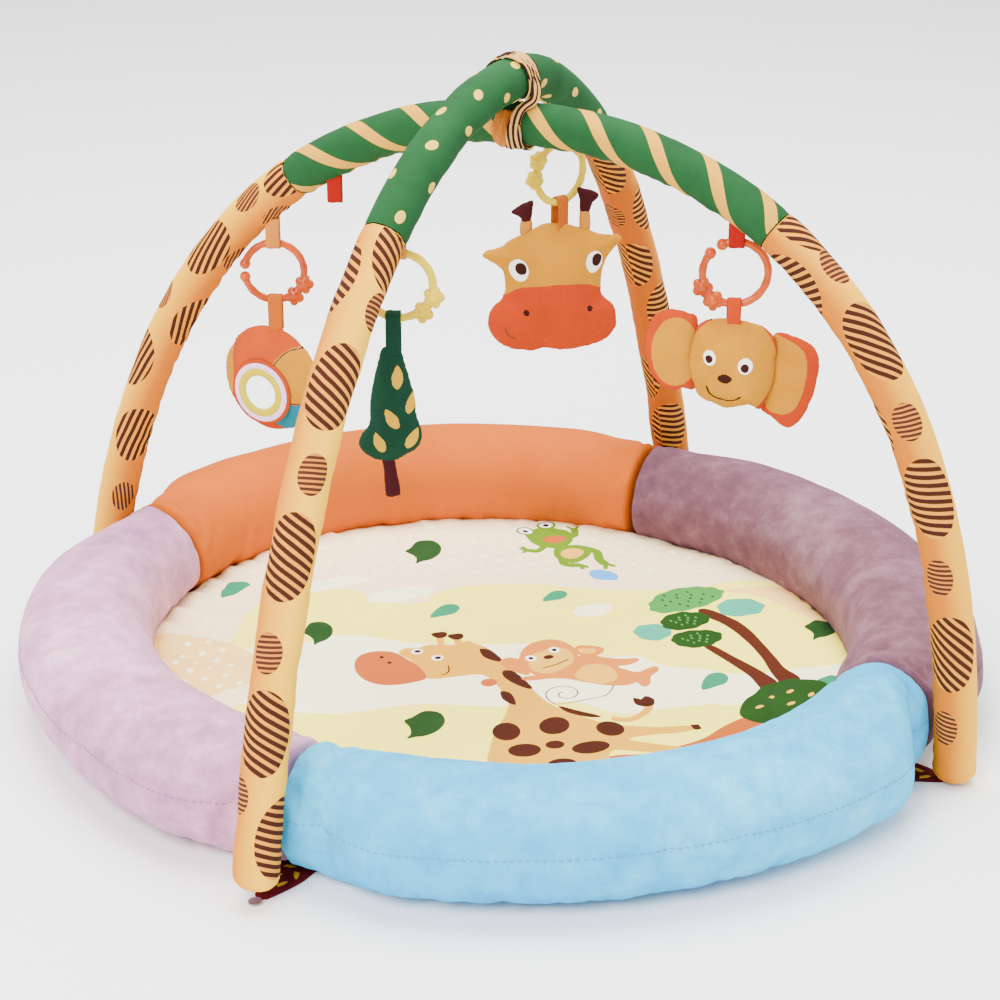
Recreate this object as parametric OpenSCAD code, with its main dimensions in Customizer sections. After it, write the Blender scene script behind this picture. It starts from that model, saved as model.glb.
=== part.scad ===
// Activity play gym: a padded round mat inside a bolster ring, two crossed padded
// arches tied at the crown, and four soft toys that hang on clip rings.
// Origin: centre of the ring on the floor. +Z up, front towards -Y.

/* [Bolster ring] */
// Mean outer radius of the ring
ring_r = 450; // [420:1:480]
// How much longer the ring is along the lower arch, shorter along the upper one
oval = 12; // [0:1:20]
// Half width of the bolster's cross-section
bolster_a = 63; // [55:1:75]
// Half height of the bolster's cross-section
bolster_b = 52; // [45:1:60]
// Half angle of the hollow that each leg sits in
nest_angle = 9; // [6:0.5:14]
// Thickness of the bolster's cover cloth
cover_t = 1.5; // [1:0.1:3]

/* [Mat] */
// Top of the quilted play mat above the floor
mat_top = 26; // [18:1:32]
// Thickness of the bottom cloth
base_t = 1.5; // [1:0.1:3]
// Thickness of the printed top cloth
print_t = 2; // [1:0.5:4]

/* [Arches] */
// Outer diameter of the padded sleeves
sleeve_d = 40; // [34:1:42]
// Height of the upper arch's centre line at the crown
upper_h = 588.5; // [560:0.5:620]
// Height of the lower arch's centre line at the crown
lower_h = 547.5; // [520:0.5:570]
// Diameter of the flexible pole
pole_d = 8; // [6:0.5:10]
// Thickness of the sleeve cloth
sleeve_t = 1.2; // [0.8:0.1:2]
// How far the crown sits from the ring's centre
crown = [21, 9]; // [0:1:30]

/* [Clip rings] */
// Radius of the clip ring's centre line
clip_r = 28.5; // [24:0.5:32]
// Diameter of the clip ring's rod
clip_d = 7; // [5:0.5:8]
// Facing of the ball's, tree's, giraffe's and monkey's clip rings
clip_yaw = [-19, -19, 21, -19]; // [-21:1:21]

/* [Toys] */
// Facing of the ball, tree, giraffe and monkey
toy_yaw = [-47, -19, -19, -22]; // [-60:1:30]
// Thickness of the ball, tree, giraffe and monkey
toy_t = [38, 30, 40, 40]; // [20:1:50]
// Width of the cloth tape that the toys hang by
tape_w = 14; // [10:1:16]
// Radius of the ball toy
ball_r = 54; // [45:1:60]

/* [Hidden] */

// Cloth colours
lilac = [0.78, 0.66, 0.76];
mauve = [0.55, 0.45, 0.52];
orange = [0.95, 0.60, 0.35];
sky = [0.58, 0.82, 0.93];
cream = [1.00, 0.96, 0.80];
wine = [0.50, 0.10, 0.12];
giraffe_print = [0.96, 0.75, 0.42];
leaf = [0.12, 0.45, 0.25];
red = [0.85, 0.12, 0.08];
gold = [0.92, 0.65, 0.22];
salmon = [0.92, 0.45, 0.28];
clip_orange = [0.98, 0.52, 0.10];
clip_yellow = [0.98, 0.90, 0.20];
foam = [0.90, 0.90, 0.88];
steel = [0.70, 0.70, 0.72];

gap = 0.3;              // clearance between neighbouring solids
sleeve_r = sleeve_d / 2;
sides = 12;             // facets round a sleeve
section_sides = 20;     // facets round the bolster's cross-section
section_power = 2.2;    // squareness of the bolster's cross-section
bolster_z = base_t + gap + bolster_b;

// Legs in order: upper arch front-left and back-right, lower arch front-right and back-left
UF = 0;
UB = 1;
LR = 2;
LL = 3;
leg_angle = [-135, 45, -45, 135];
foot_r = [449, 449, 456, 456];        // foot's distance from the ring's centre
foot_z = 5;
shoulder_r = [345, 305, 446, 365];    // control point that sets how far a leg leans in
shoulder_z = [630, 554, 601, 558];
crown_z = [upper_h, upper_h, lower_h, lower_h];
crown_reach = 25;                     // control point that keeps the crown level
green_end = [0.45, 0.50, 0.465, 0.475]; // where the green crown sleeve starts on each leg

// ---------- curves ----------

function mix(a, b, t) = a * (1 - t) + b * t;
function smooth(t) = t * t * (3 - 2 * t);
function bezier(a, b, c, d, t) =
    pow(1 - t, 3) * a + 3 * pow(1 - t, 2) * t * b + 3 * (1 - t) * t * t * c + pow(t, 3) * d;
function heading(angle) = [cos(angle), sin(angle)];
function unit(v) = v / norm(v);

// Point on a leg's centre line, from the foot (t = 0) to the crown (t = 1)
function leg_rz(leg, t) = bezier(
    [foot_r[leg], foot_z], [shoulder_r[leg], shoulder_z[leg]],
    [crown_reach, crown_z[leg]], [0, crown_z[leg]], t);
function leg_point(leg, t) =
    let (p = leg_rz(leg, t), xy = heading(leg_angle[leg]) * p[0] + crown * smooth(t))
    [xy[0], xy[1], p[1]];
function leg_slope(leg, t) =
    let (d = leg_rz(leg, t + 0.001) - leg_rz(leg, t - 0.001)) atan2(d[1], -d[0]);

// Stations on one leg, shared by its padding and its two sleeves so that they nest
foot_start = 0.0094;
function lower_stations(leg) = [for (i = [0 : 12]) mix(foot_start, green_end[leg], i / 12)];
function crown_stations(leg) = [for (i = [0 : 7]) mix(green_end[leg], 1, i / 7)];
function leg_path(leg, stations) = [for (t = stations) leg_point(leg, t)];
function reversed(list) = [for (i = [len(list) - 1 : -1 : 0]) list[i]];
function without_last(list) = [for (i = [0 : len(list) - 2]) list[i]];
function without_first(list) = [for (i = [1 : len(list) - 1]) list[i]];
// Points along an arch's crown, over from its first leg to its second
function crown_path(first) = concat(
    leg_path(first, crown_stations(first)),
    without_first(reversed(leg_path(first + 1, crown_stations(first + 1)))));
function whole_path(first) = concat(
    without_last(leg_path(first, lower_stations(first))), crown_path(first),
    without_first(reversed(leg_path(first + 1, lower_stations(first + 1)))));

function path_tangent(path, i) =
    unit(path[min(i + 1, len(path) - 1)] - path[max(i - 1, 0)]);
function ring_points(centre, tangent, side, r, n) =
    let (up = cross(tangent, side))
    [for (k = [0 : n - 1]) centre + r * (cos(360 * k / n) * side + sin(360 * k / n) * up)];

// ---------- meshes from rings of points ----------

// Solid skinned over a list of rings with the same number of points, closed at both ends
module loft(rings) {
    n = len(rings[0]);
    m = len(rings);
    points = [for (ring = rings) each ring];
    walls = [for (j = [0 : m - 2], k = [0 : n - 1])
        let (a = j * n + k, b = j * n + (k + 1) % n) each [[a, a + n, b], [b, a + n, b + n]]];
    first = [for (k = [1 : n - 2]) [0, k, k + 1]];
    last = [for (k = [1 : n - 2]) [(m - 1) * n, (m - 1) * n + k + 1, (m - 1) * n + k]];
    polyhedron(points, concat(walls, first, last));
}

// Rod or tube along a path whose sideways direction is fixed
module rod(path, r, side, n = 8) {
    loft([for (i = [0 : len(path) - 1])
        ring_points(path[i], path_tangent(path, i), side, r, n)]);
}
module tube(path, r_out, r_in, side, n = sides) {
    last = len(path) - 1;
    outer = [for (i = [0 : last]) ring_points(path[i], path_tangent(path, i), side, r_out, n)];
    inner = [for (i = [0 : last])
        ring_points(path[last - i], path_tangent(path, last - i), side, r_in, n)];
    loft_loop(concat(outer, inner));
}

// Rings joined end to end, so that the last one meets the first
module loft_loop(rings) {
    n = len(rings[0]);
    m = len(rings);
    points = [for (ring = rings) each ring];
    faces = [for (j = [0 : m - 1], k = [0 : n - 1])
        let (a = j * n + k, b = j * n + (k + 1) % n, c = (a + n) % (m * n), d = (b + n) % (m * n))
        each [[a, c, b], [b, c, d]]];
    polyhedron(points, faces);
}

// ---------- bolster ring ----------

function ring_outer(angle) = ring_r - oval * sin(2 * angle);
// Centre line's radius of each leg where it passes the bolster's widest point
function leg_at_bolster(leg) = leg_rz(leg, 0.035)[0];
function nest_depth(leg) =
    ring_outer(leg_angle[leg]) - (leg_at_bolster(leg) - sleeve_r - 3);
function angle_between(a, b) = abs(((a - b) % 360 + 540) % 360 - 180);
function nest(angle) = max([for (leg = [UF, UB, LR, LL])
    nest_depth(leg) * exp(-pow(angle_between(angle, leg_angle[leg]) / nest_angle, 4))]);

function power_cos(u, p) = sign(cos(u)) * pow(abs(cos(u)), 2 / p);
function power_sin(u, p) = sign(sin(u)) * pow(abs(sin(u)), 2 / p);

// One cross-section of the bolster, drawn in by inset
function bolster_ring(angle, inset) =
    let (
        centre_r = ring_outer(angle) - bolster_a,
        out_a = bolster_a - nest(angle) - inset,
        in_a = bolster_a - inset,
        h = bolster_b - inset)
    [for (k = [0 : section_sides - 1])
        let (
            u = -360 * k / section_sides,
            c = power_cos(u, section_power),
            r = centre_r + c * (c > 0 ? out_a : in_a))
        [r * cos(angle), r * sin(angle), bolster_z + h * power_sin(u, section_power)]];

// Stations round one quarter, closer together near the legs
function quarter_angles(start, inset) =
    let (edge = 0.02 + inset / ring_r * 57)
    [for (a = [edge, 2.5, 5, 7.5, 10, 13, 18, 27, 36, 45, 54, 63, 72, 77, 80, 82.5, 85, 87.5, 90 - edge])
        start + a];

module bolster_body(start, inset) {
    loft([for (a = quarter_angles(start, inset)) bolster_ring(a, inset)]);
}
module bolster_cover(start, tint) {
    color(tint) difference() {
        bolster_body(start, 0);
        bolster_body(start, cover_t);
    }
}
module bolster_front() { bolster_cover(-135, sky); }
module bolster_right() { bolster_cover(-45, mauve); }
module bolster_back() { bolster_cover(45, orange); }
module bolster_left() { bolster_cover(135, lilac); }
module bolster_filling() {
    color(foam) for (start = [-135, -45, 45, 135]) bolster_body(start, cover_t + gap);
}

// ---------- mat ----------

// Flat disc that follows the ring's oval at a distance inside its outer edge
module oval_disc(inside, z0, z1) {
    translate([0, 0, z0]) linear_extrude(z1 - z0)
        polygon([for (a = [0 : 5 : 355]) heading(a) * (ring_outer(a) - inside)]);
}
inner_edge = 2 * bolster_a + 1;     // the ring's inner face
module base_cloth() { color(cream) oval_disc(bolster_a, 0, base_t); }
module mat_padding() { color(foam) oval_disc(inner_edge, base_t + 0.1, mat_top - print_t - 0.1); }
module mat_print() { color(cream) oval_disc(inner_edge, mat_top - print_t, mat_top); }

// ---------- straps that hold the feet ----------

tab_w = 46;
tab_t = 1.6;
snap_d = 12;
module at_foot(leg) {
    translate([0, 0, 0]) rotate(leg_angle[leg]) translate([foot_r[leg], 0, 0]) children();
}
module foot_tabs() {
    color(wine) for (leg = [UF, UB, LR, LL]) at_foot(leg)
        translate([-foot_r[leg] + ring_outer(leg_angle[leg]) - bolster_a + 0.5, -tab_w / 2, 0])
            cube([foot_r[leg] - ring_outer(leg_angle[leg]) + bolster_a + 9, tab_w, tab_t]);
}
module tab_snaps() {
    color(steel) for (leg = [UF, UB, LR, LL]) at_foot(leg)
        translate([0, 0, tab_t]) cylinder(d = snap_d, h = 1, $fn = 24);
}

// ---------- arches ----------

function arch_side(first) = [-sin(leg_angle[first]), cos(leg_angle[first]), 0];
padding_r = sleeve_r - sleeve_t - gap;
bore_r = pole_d / 2 + 3 * gap;
join_t = 0.85;          // where each half of the pole ends, short of the crown

// Sleeve on one leg: closed round end at the foot, open where it meets the crown sleeve
module leg_sleeve(leg, side) {
    round_end = [0.35, 0.75, 0.95];
    stations = concat([0, 0.002, 0.005], without_last(lower_stations(leg)), green_end[leg] - 0.003);
    path = leg_path(leg, stations);
    last = len(path) - 1;
    outer = [for (i = [0 : last])
        ring_points(path[i], path_tangent(path, i), side, sleeve_r * (i < 3 ? round_end[i] : 1), sides)];
    inner = [for (i = [last : -1 : 2])
        ring_points(path[i], path_tangent(path, i), side,
            (sleeve_r - sleeve_t) * (i < 3 ? 0.8 : 1), sides)];
    color(giraffe_print) loft(concat(outer, inner));
}
module crown_sleeve(first) {
    color(leaf)
        tube(crown_path(first), sleeve_r, sleeve_r - sleeve_t, arch_side(first));
}
module arch_padding(first) {
    color(foam)
        tube(whole_path(first), padding_r, bore_r, arch_side(first));
}
module pole_half(leg, tint) {
    color(tint)
        rod([for (i = [0 : 20]) leg_point(leg, mix(0.021, join_t, i / 20))],
            pole_d / 2, arch_side(leg));
}
// Metal pin inside the padding that joins the two pole halves at the crown
module ferrule(first) {
    half = [for (i = [0 : 4]) mix(join_t + 0.003, 1, i / 4)];
    path = concat(leg_path(first, half), without_first(reversed(leg_path(first + 1, half))));
    color(steel) rod(path, pole_d / 2, arch_side(first));
}
module pole_tips(first) {
    color("black") for (leg = [first, first + 1])
        rod([leg_point(leg, 0.011), leg_point(leg, 0.015), leg_point(leg, 0.02)],
            pole_d / 2, arch_side(leg));
}

module upper_pole_front() { pole_half(UF, "white"); }
module upper_pole_back() { pole_half(UB, "white"); }
module upper_ferrule() { ferrule(UF); }
module upper_pole_tips() { pole_tips(UF); }
module upper_padding() { arch_padding(UF); }
module upper_sleeve_front() { leg_sleeve(UF, arch_side(UF)); }
module upper_sleeve_back() { leg_sleeve(UB, arch_side(UB)); }
module upper_sleeve_crown() { crown_sleeve(UF); }
module lower_pole_right() { pole_half(LR, "white"); }
module lower_pole_left() { pole_half(LL, "white"); }
module lower_ferrule() { ferrule(LR); }
module lower_pole_tips() { pole_tips(LR); }
module lower_padding() { arch_padding(LR); }
module lower_sleeve_right() { leg_sleeve(LR, arch_side(LR)); }
module lower_sleeve_left() { leg_sleeve(LL, arch_side(LL)); }
module lower_sleeve_crown() { crown_sleeve(LR); }

// ---------- cloth tie at the crown ----------

tie_t = 1.6;
tie_w = 26;
tie_open = 48;      // half angle left open where the two sleeves touch
// Open band round a level sleeve; spin points the opening down (0) or up (180)
module tie_band(first, z, spin) {
    translate([crown[0], crown[1], z]) rotate(leg_angle[first]) rotate([90 + spin, 0, 90])
        translate([0, 0, -tie_w / 2])
            rotate([0, 0, -90 + tie_open]) rotate_extrude(angle = 360 - 2 * tie_open, $fn = 48)
                translate([sleeve_r + 3 * gap, 0]) square([tie_t, tie_w]);
}
module upper_tie() { color(giraffe_print) tie_band(UF, upper_h, 0); }
module lower_tie() { color(orange) tie_band(LR, lower_h, 180); }

// ---------- hanging hardware ----------

loop_t = 1.2;
loop_r = clip_d / 2 + 1.4;
BALL = 0;
TREE = 1;
GIRAFFE = 2;
MONKEY = 3;
hang_leg = [LL, UF, UB, LR];
hang_t = [0.43, 0.485, 0.65, 0.52];     // where each toy hangs on its leg
hang_drop = [21, 12, 28, 14];           // from the sleeve's underside to the hinge line
spare_t = 0.54;                         // the loop that is left empty
spare_drop = 18;
tape_drop = [26, 25, 22, 14];           // from the clip's lower hinge line to the toy

function under_z(leg, t) = leg_point(leg, t)[2] - sleeve_r / cos(leg_slope(leg, t));
function hinge_at(leg, t, drop) =
    let (p = leg_point(leg, t)) [p[0], p[1], under_z(leg, t) - drop];
function upper_hinge(toy) = hinge_at(hang_leg[toy], hang_t[toy], hang_drop[toy]);
function lower_hinge(toy) = upper_hinge(toy) - [0, 0, 2 * clip_r];
function toy_top(toy) = lower_hinge(toy) - [0, 0, tape_drop[toy]];

// Cloth tape folded round a rod at the origin, its two tails running along +Z to height
module tape_loop(height, width, r = loop_r) {
    rotate([90, 0, 90]) translate([0, 0, -width / 2]) {
        rotate_extrude(angle = -180, $fn = 32) translate([r, 0]) square([loop_t, width]);
        for (s = [-1, 1]) translate([s > 0 ? r : -r - loop_t, 0, 0]) cube([loop_t, height, width]);
    }
}
module hang_loop(leg, t, drop, yaw) {
    translate(hinge_at(leg, t, drop)) rotate(yaw) tape_loop(drop + 1.5, tape_w);
}
module toy_hang_loop(toy) {
    hang_loop(hang_leg[toy], hang_t[toy], hang_drop[toy], clip_yaw[toy]);
}
module upper_hang_loops() { color(red) { toy_hang_loop(TREE); toy_hang_loop(GIRAFFE); } }
module lower_hang_loops() { color(red) { toy_hang_loop(BALL); toy_hang_loop(MONKEY); } }
module lower_spare_loop() { color(red) hang_loop(LL, spare_t, spare_drop, -19); }

// Plastic clip ring in its own XZ plane, centred on the origin: an open ring with a ball
// on each end and two flowers. mouth is where the gap is, and flowers are their places.
ball_end_r = 5.2;
flower_r = 9.3;
flower_t = 8;
module flower() {
    rotate([90, 0, 0]) linear_extrude(flower_t, center = true) {
        circle(r = flower_r * 0.6, $fn = 24);
        for (k = [0 : 4]) rotate(72 * k + 25) translate([flower_r * 0.58, 0])
            circle(r = flower_r * 0.42, $fn = 24);
    }
}
module clip(mouth, flowers) {
    opening = 14;
    rotate([90, 0, 0]) rotate(mouth + opening) rotate_extrude(angle = 360 - 2 * opening, $fn = 96)
        translate([clip_r, 0]) circle(d = clip_d, $fn = 24);
    for (s = [-1, 1]) {
        a = mouth + s * (opening - 1);
        translate([clip_r * cos(a), 0, clip_r * sin(a)]) rotate([0, 90 - a, 0])
            sphere(r = ball_end_r, $fn = 32);
    }
    for (a = flowers) translate([(clip_r + 2.5) * cos(a), 0, (clip_r + 2.5) * sin(a)]) flower();
}
module toy_clip(toy, tint, mouth, flowers) {
    color(tint) translate(lower_hinge(toy) + [0, 0, clip_r]) rotate(clip_yaw[toy]) clip(mouth, flowers);
}
module ball_clip() { toy_clip(BALL, clip_orange, 178, [-25, -53]); }
module tree_clip() { toy_clip(TREE, clip_yellow, 178, [-20, -50]); }
module giraffe_clip() { toy_clip(GIRAFFE, clip_yellow, 48, [150, 183]); }
module monkey_clip() { toy_clip(MONKEY, clip_orange, 128, [-155, -126]); }

module toy_tape(toy, tint, width = tape_w) {
    color(tint) translate(lower_hinge(toy)) rotate(clip_yaw[toy])
        mirror([0, 0, 1]) tape_loop(tape_drop[toy] + 2, width);
}
module ball_tape() { toy_tape(BALL, salmon); }
module tree_tape() { toy_tape(TREE, leaf, 12); }
module giraffe_tape() { toy_tape(GIRAFFE, salmon, 12); }
module monkey_tape() { toy_tape(MONKEY, salmon, 12); }

// ---------- stuffed toys ----------

// Closed smooth outline through hand-set points
function spline_point(p, i, t) =
    let (n = len(p), a = p[(i + n - 1) % n], b = p[i], c = p[(i + 1) % n], d = p[(i + 2) % n])
    0.5 * ((2 * b) + (c - a) * t + (2 * a - 5 * b + 4 * c - d) * t * t
        + (3 * b - a - 3 * c + d) * t * t * t);
function outline(p, parts = 2) =
    [for (i = [0 : len(p) - 1], j = [0 : parts - 1]) spline_point(p, i, j / parts)];
function ellipse_points(rx, rz, n = 28) =
    [for (k = [0 : n - 1]) [rx * cos(360 * k / n), rz * sin(360 * k / n)]];

// Pillow of a given outline: full in the middle, drawn to a blunt seam round the edge
module pillow(points, thick, centre = [0, 0]) {
    loft([for (v = [75 : -25 : -75])
        let (s = pow(cos(v), 0.55))
        [for (p = points)
            let (q = centre + (p - centre) * s) [q[0], thick / 2 * sin(v) / sin(75), q[1]]]]);
}
module hang_toy(toy, drop) {
    translate(toy_top(toy) - [0, 0, drop]) rotate(toy_yaw[toy]) children();
}

mirror_frame_r = 33;
mirror_r = 16.5;
mirror_t = 2;
module ball_toy() {
    color(salmon) hang_toy(BALL, ball_r) difference() {
        pillow(ellipse_points(ball_r, ball_r), toy_t[BALL]);
        translate([0, -toy_t[BALL] / 2 + 2.5, 0]) rotate([90, 0, 0])
            cylinder(r = mirror_frame_r + gap, h = 20, $fn = 64);
    }
}
module ball_mirror_frame() {
    color(clip_yellow) hang_toy(BALL, ball_r) translate([0, -toy_t[BALL] / 2 + 2.4, 0])
        rotate([90, 0, 0]) difference() {
            cylinder(r = mirror_frame_r, h = 4, $fn = 64);
            translate([0, 0, 1]) cylinder(r = mirror_r + gap, h = 10, $fn = 64);
        }
}
module ball_mirror() {
    color("silver") hang_toy(BALL, ball_r) translate([0, -toy_t[BALL] / 2 + 1.3, 0])
        rotate([90, 0, 0]) cylinder(r = mirror_r, h = mirror_t, $fn = 64);
}

tree_h = 106;
trunk_w = 13;
trunk_h = 36;
tree_shape = [
    [-8, 0], [-13, -18], [-19, -44], [-22, -64], [-27, -80], [-30, -90], [-26, -100], [-14, -106], [0, -106],
    [14, -102], [24, -96], [27, -86], [24, -76], [22, -60], [17, -36], [11, -14], [8, 0],
];
module tree_toy() {
    color(leaf) hang_toy(TREE, 0) pillow(outline(tree_shape), toy_t[TREE], [0, -60]);
}
module tree_trunk() {
    color(wine) hang_toy(TREE, tree_h - 6) translate([-1, 0, -trunk_h])
        rotate([0, -3, 0]) pillow([
            [trunk_w / 2 + 1, 0], [trunk_w / 2, 20], [trunk_w / 2 + 1, trunk_h + 4],
            [-trunk_w / 2 - 1, trunk_h + 4], [-trunk_w / 2, 20], [-trunk_w / 2 - 1, 0]],
            10, [0, 18]);
}

giraffe_h = 61;     // from the tape to the middle of the head
giraffe_shape = [
    [0, 61], [-16, 57], [-30, 51], [-45, 42], [-66, 35], [-60, 25], [-51, 15], [-49, -4],
    [-56, -25], [-62, -40], [-55, -55], [-40, -63], [-8, -64], [24, -61], [47, -52], [62, -34],
    [60, -18], [50, -4], [52, 16], [57, 36], [64, 48], [52, 51], [34, 55], [16, 60],
];
module giraffe_toy() {
    color(gold) hang_toy(GIRAFFE, giraffe_h) pillow(outline(giraffe_shape, 1), toy_t[GIRAFFE]);
}
horn_l = [[-23, 50], [-22, 62], [-19, 82], [-27, 81], [-40, 70], [-31, 65], [-30, 60], [-31, 50]];
horn_r = [[32, 50], [33, 72], [42, 88], [31, 93], [21, 95], [24, 80], [25, 72], [26, 50]];
module giraffe_horns() {
    color(wine) hang_toy(GIRAFFE, giraffe_h) for (shape = [horn_l, horn_r])
        translate([0, 3, 0]) mirror([0, 1, 0]) rotate([90, 0, 0]) linear_extrude(8, center = true)
            polygon(shape);
}

monkey_h = 41;      // from the tape to the middle of the face
module monkey_toy() {
    color(gold) hang_toy(MONKEY, monkey_h) translate([0, 0, -2])
        pillow(ellipse_points(39, 43), toy_t[MONKEY]);
}
ear_r = [
    [36, 22], [33, 8], [31, -10], [32, -38], [42, -58], [50, -62], [63, -42], [70, -12], [64, 12], [50, 20],
];
module monkey_ears() {
    color(salmon) hang_toy(MONKEY, monkey_h) {
        translate([-53, 4, 8]) pillow(ellipse_points(22, 39), 12);
        translate([0, 4, 0]) pillow(outline(ear_r), 12, [50, -16]);
    }
}

// ---------- assembly ----------

bolster_front();
bolster_right();
bolster_back();
bolster_left();
bolster_filling();
base_cloth();
mat_padding();
mat_print();
foot_tabs();
tab_snaps();
upper_pole_front();
upper_pole_back();
upper_ferrule();
upper_pole_tips();
upper_padding();
upper_sleeve_front();
upper_sleeve_crown();
upper_sleeve_back();
upper_hang_loops();
upper_tie();
lower_pole_right();
lower_pole_left();
lower_ferrule();
lower_pole_tips();
lower_padding();
lower_sleeve_right();
lower_sleeve_crown();
lower_sleeve_left();
lower_hang_loops();
lower_spare_loop();
lower_tie();
ball_clip();
ball_tape();
ball_toy();
ball_mirror_frame();
ball_mirror();
tree_clip();
tree_tape();
tree_toy();
tree_trunk();
giraffe_clip();
giraffe_tape();
giraffe_toy();
giraffe_horns();
monkey_clip();
monkey_tape();
monkey_toy();
monkey_ears();
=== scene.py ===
import math

import bmesh
import bpy
import numpy as np
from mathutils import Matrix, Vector
from mathutils.geometry import delaunay_2d_cdt


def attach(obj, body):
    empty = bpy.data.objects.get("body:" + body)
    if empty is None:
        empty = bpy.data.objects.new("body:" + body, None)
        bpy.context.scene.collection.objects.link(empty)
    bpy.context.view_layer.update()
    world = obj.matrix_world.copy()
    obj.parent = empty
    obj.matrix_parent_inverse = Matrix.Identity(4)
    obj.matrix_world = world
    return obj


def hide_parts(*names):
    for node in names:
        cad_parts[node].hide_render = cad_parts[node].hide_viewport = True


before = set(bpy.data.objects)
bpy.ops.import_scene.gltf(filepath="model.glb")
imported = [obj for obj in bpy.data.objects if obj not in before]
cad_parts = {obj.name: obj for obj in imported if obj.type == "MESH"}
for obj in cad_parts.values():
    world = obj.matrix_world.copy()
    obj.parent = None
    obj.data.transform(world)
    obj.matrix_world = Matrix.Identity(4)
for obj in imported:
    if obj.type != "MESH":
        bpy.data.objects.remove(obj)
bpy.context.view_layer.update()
MM = 0.001

# ---------------------------------------------------------------- sizes, in mm
RING_R, OVAL = 450.0, 12.0              # ring's outer radius, and how far it is off round
BOLSTER_A, BOLSTER_B = 63.0, 52.0       # half the width and half the height of the bolster
BOLSTER_Z = 1.8 + BOLSTER_B             # its middle, above the ground cloth
NEST = 10.6                             # degrees each side of a foot in which the ring gives way to it
MAT_Z = 26.0
SLEEVE_R = 20.0
GIRTH = 2 * math.pi * SLEEVE_R
UPPER_H, LOWER_H = 588.5, 547.5         # middles of the two arches where they cross
CROWN = np.array([21.0, 9.0])           # where they cross, from the middle of the mat

# the four legs: upper front, upper back, lower right, lower left
UF, UB, LR, LL = 0, 1, 2, 3
LEG_ANGLE = [-135, 45, -45, 135]
FOOT_R = [449, 449, 456, 456]
SHOULDER_R = [345, 305, 446, 365]
SHOULDER_Z = [630, 554, 601, 558]
CROWN_Z = [UPPER_H, UPPER_H, LOWER_H, LOWER_H]
GREEN = [0.45, 0.50, 0.465, 0.475]      # share of the leg below the green crown sleeve

# the four toys, and where each hangs
BALL, TREE, GIRAFFE, MONKEY = 0, 1, 2, 3
TOYS = ["ball", "tree", "giraffe", "monkey"]
ARCH_OF = ["lower_arch", "upper_arch", "upper_arch", "lower_arch"]
HANG_LEG = [LL, UF, UB, LR]
HANG_T = [0.43, 0.485, 0.65, 0.52]
HANG_DROP = [21, 12, 28, 14]
TAPE_DROP = [26, 25, 22, 14]
CLIP_R = 28.5
CLIP_YAW = [-19, -19, 21, -19]
TOY_YAW = [-47, -19, -19, -22]


# ---------------------------------------------------------------- small helpers
def lin(code):
    """Linear colour of a written screen colour."""
    out = []
    for i in (0, 2, 4):
        c = int(code[i:i + 2], 16) / 255
        out.append(c / 12.92 if c <= 0.04045 else ((c + 0.055) / 1.055) ** 2.4)
    return (*out, 1.0)


def heading(angle):
    """Level unit vector at an angle in degrees from +X."""
    a = math.radians(angle)
    return np.array([math.cos(a), math.sin(a)])


def unit(v):
    """Rows of v, each scaled to length 1."""
    return v / np.linalg.norm(v, axis=1)[:, None]


def leg_rz(leg, t):
    """Radius and height of a leg's centre line, from t = 0 at the foot to 1 at the crown."""
    p = np.array([[FOOT_R[leg], 5], [SHOULDER_R[leg], SHOULDER_Z[leg]],
                  [25, CROWN_Z[leg]], [0, CROWN_Z[leg]]], float)
    return (1 - t) ** 3 * p[0] + 3 * (1 - t) ** 2 * t * p[1] + 3 * (1 - t) * t * t * p[2] + t ** 3 * p[3]


def leg_point(leg, t):
    rz = leg_rz(leg, t)
    xy = heading(LEG_ANGLE[leg]) * rz[0] + CROWN * (t * t * (3 - 2 * t))
    return np.array([xy[0], xy[1], rz[1]])


def leg_slope(leg, t):
    d = leg_rz(leg, t + 0.001) - leg_rz(leg, t - 0.001)
    return math.atan2(d[1], -d[0])


def hinge_at(leg, t, drop):
    """Point that lies drop below the underside of a sleeve."""
    p = leg_point(leg, t)
    return p - [0, 0, SLEEVE_R / math.cos(leg_slope(leg, t)) + drop]


def upper_hinge(toy):
    return hinge_at(HANG_LEG[toy], HANG_T[toy], HANG_DROP[toy])


def lower_hinge(toy):
    return upper_hinge(toy) - [0, 0, 2 * CLIP_R]


def ring_outer(angle):
    return RING_R - OVAL * math.sin(math.radians(2 * angle))


def nest(angle):
    """How far the ring's outer side is pressed in by the foot that is nearest."""
    best = 0
    for leg in range(4):
        depth = ring_outer(LEG_ANGLE[leg]) - (leg_rz(leg, 0.035)[0] - SLEEVE_R - 3)
        d = abs((angle - LEG_ANGLE[leg] + 180) % 360 - 180)
        best = max(best, depth * math.exp(-(d / NEST) ** 4))
    return best


def bumps(p, scale, seed=0.0, octaves=2):
    """Smooth repeatable waves in about -1..1 for an array of points."""
    p = np.asarray(p, float) / scale
    out = np.zeros(len(p))
    amp, total = 1.0, 0.0
    gen = np.random.default_rng(int(seed * 10) + 3)
    for o in range(octaves):
        for _ in range(5):
            k = gen.normal(size=p.shape[1])
            k *= 2 * math.pi / np.linalg.norm(k) * gen.uniform(0.6, 1.4)
            out += amp * np.sin(p @ k + gen.uniform(0, 6.28)) / 2.6
        total += amp
        p = p * 2.1
        amp *= 0.5
    return out / total


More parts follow.
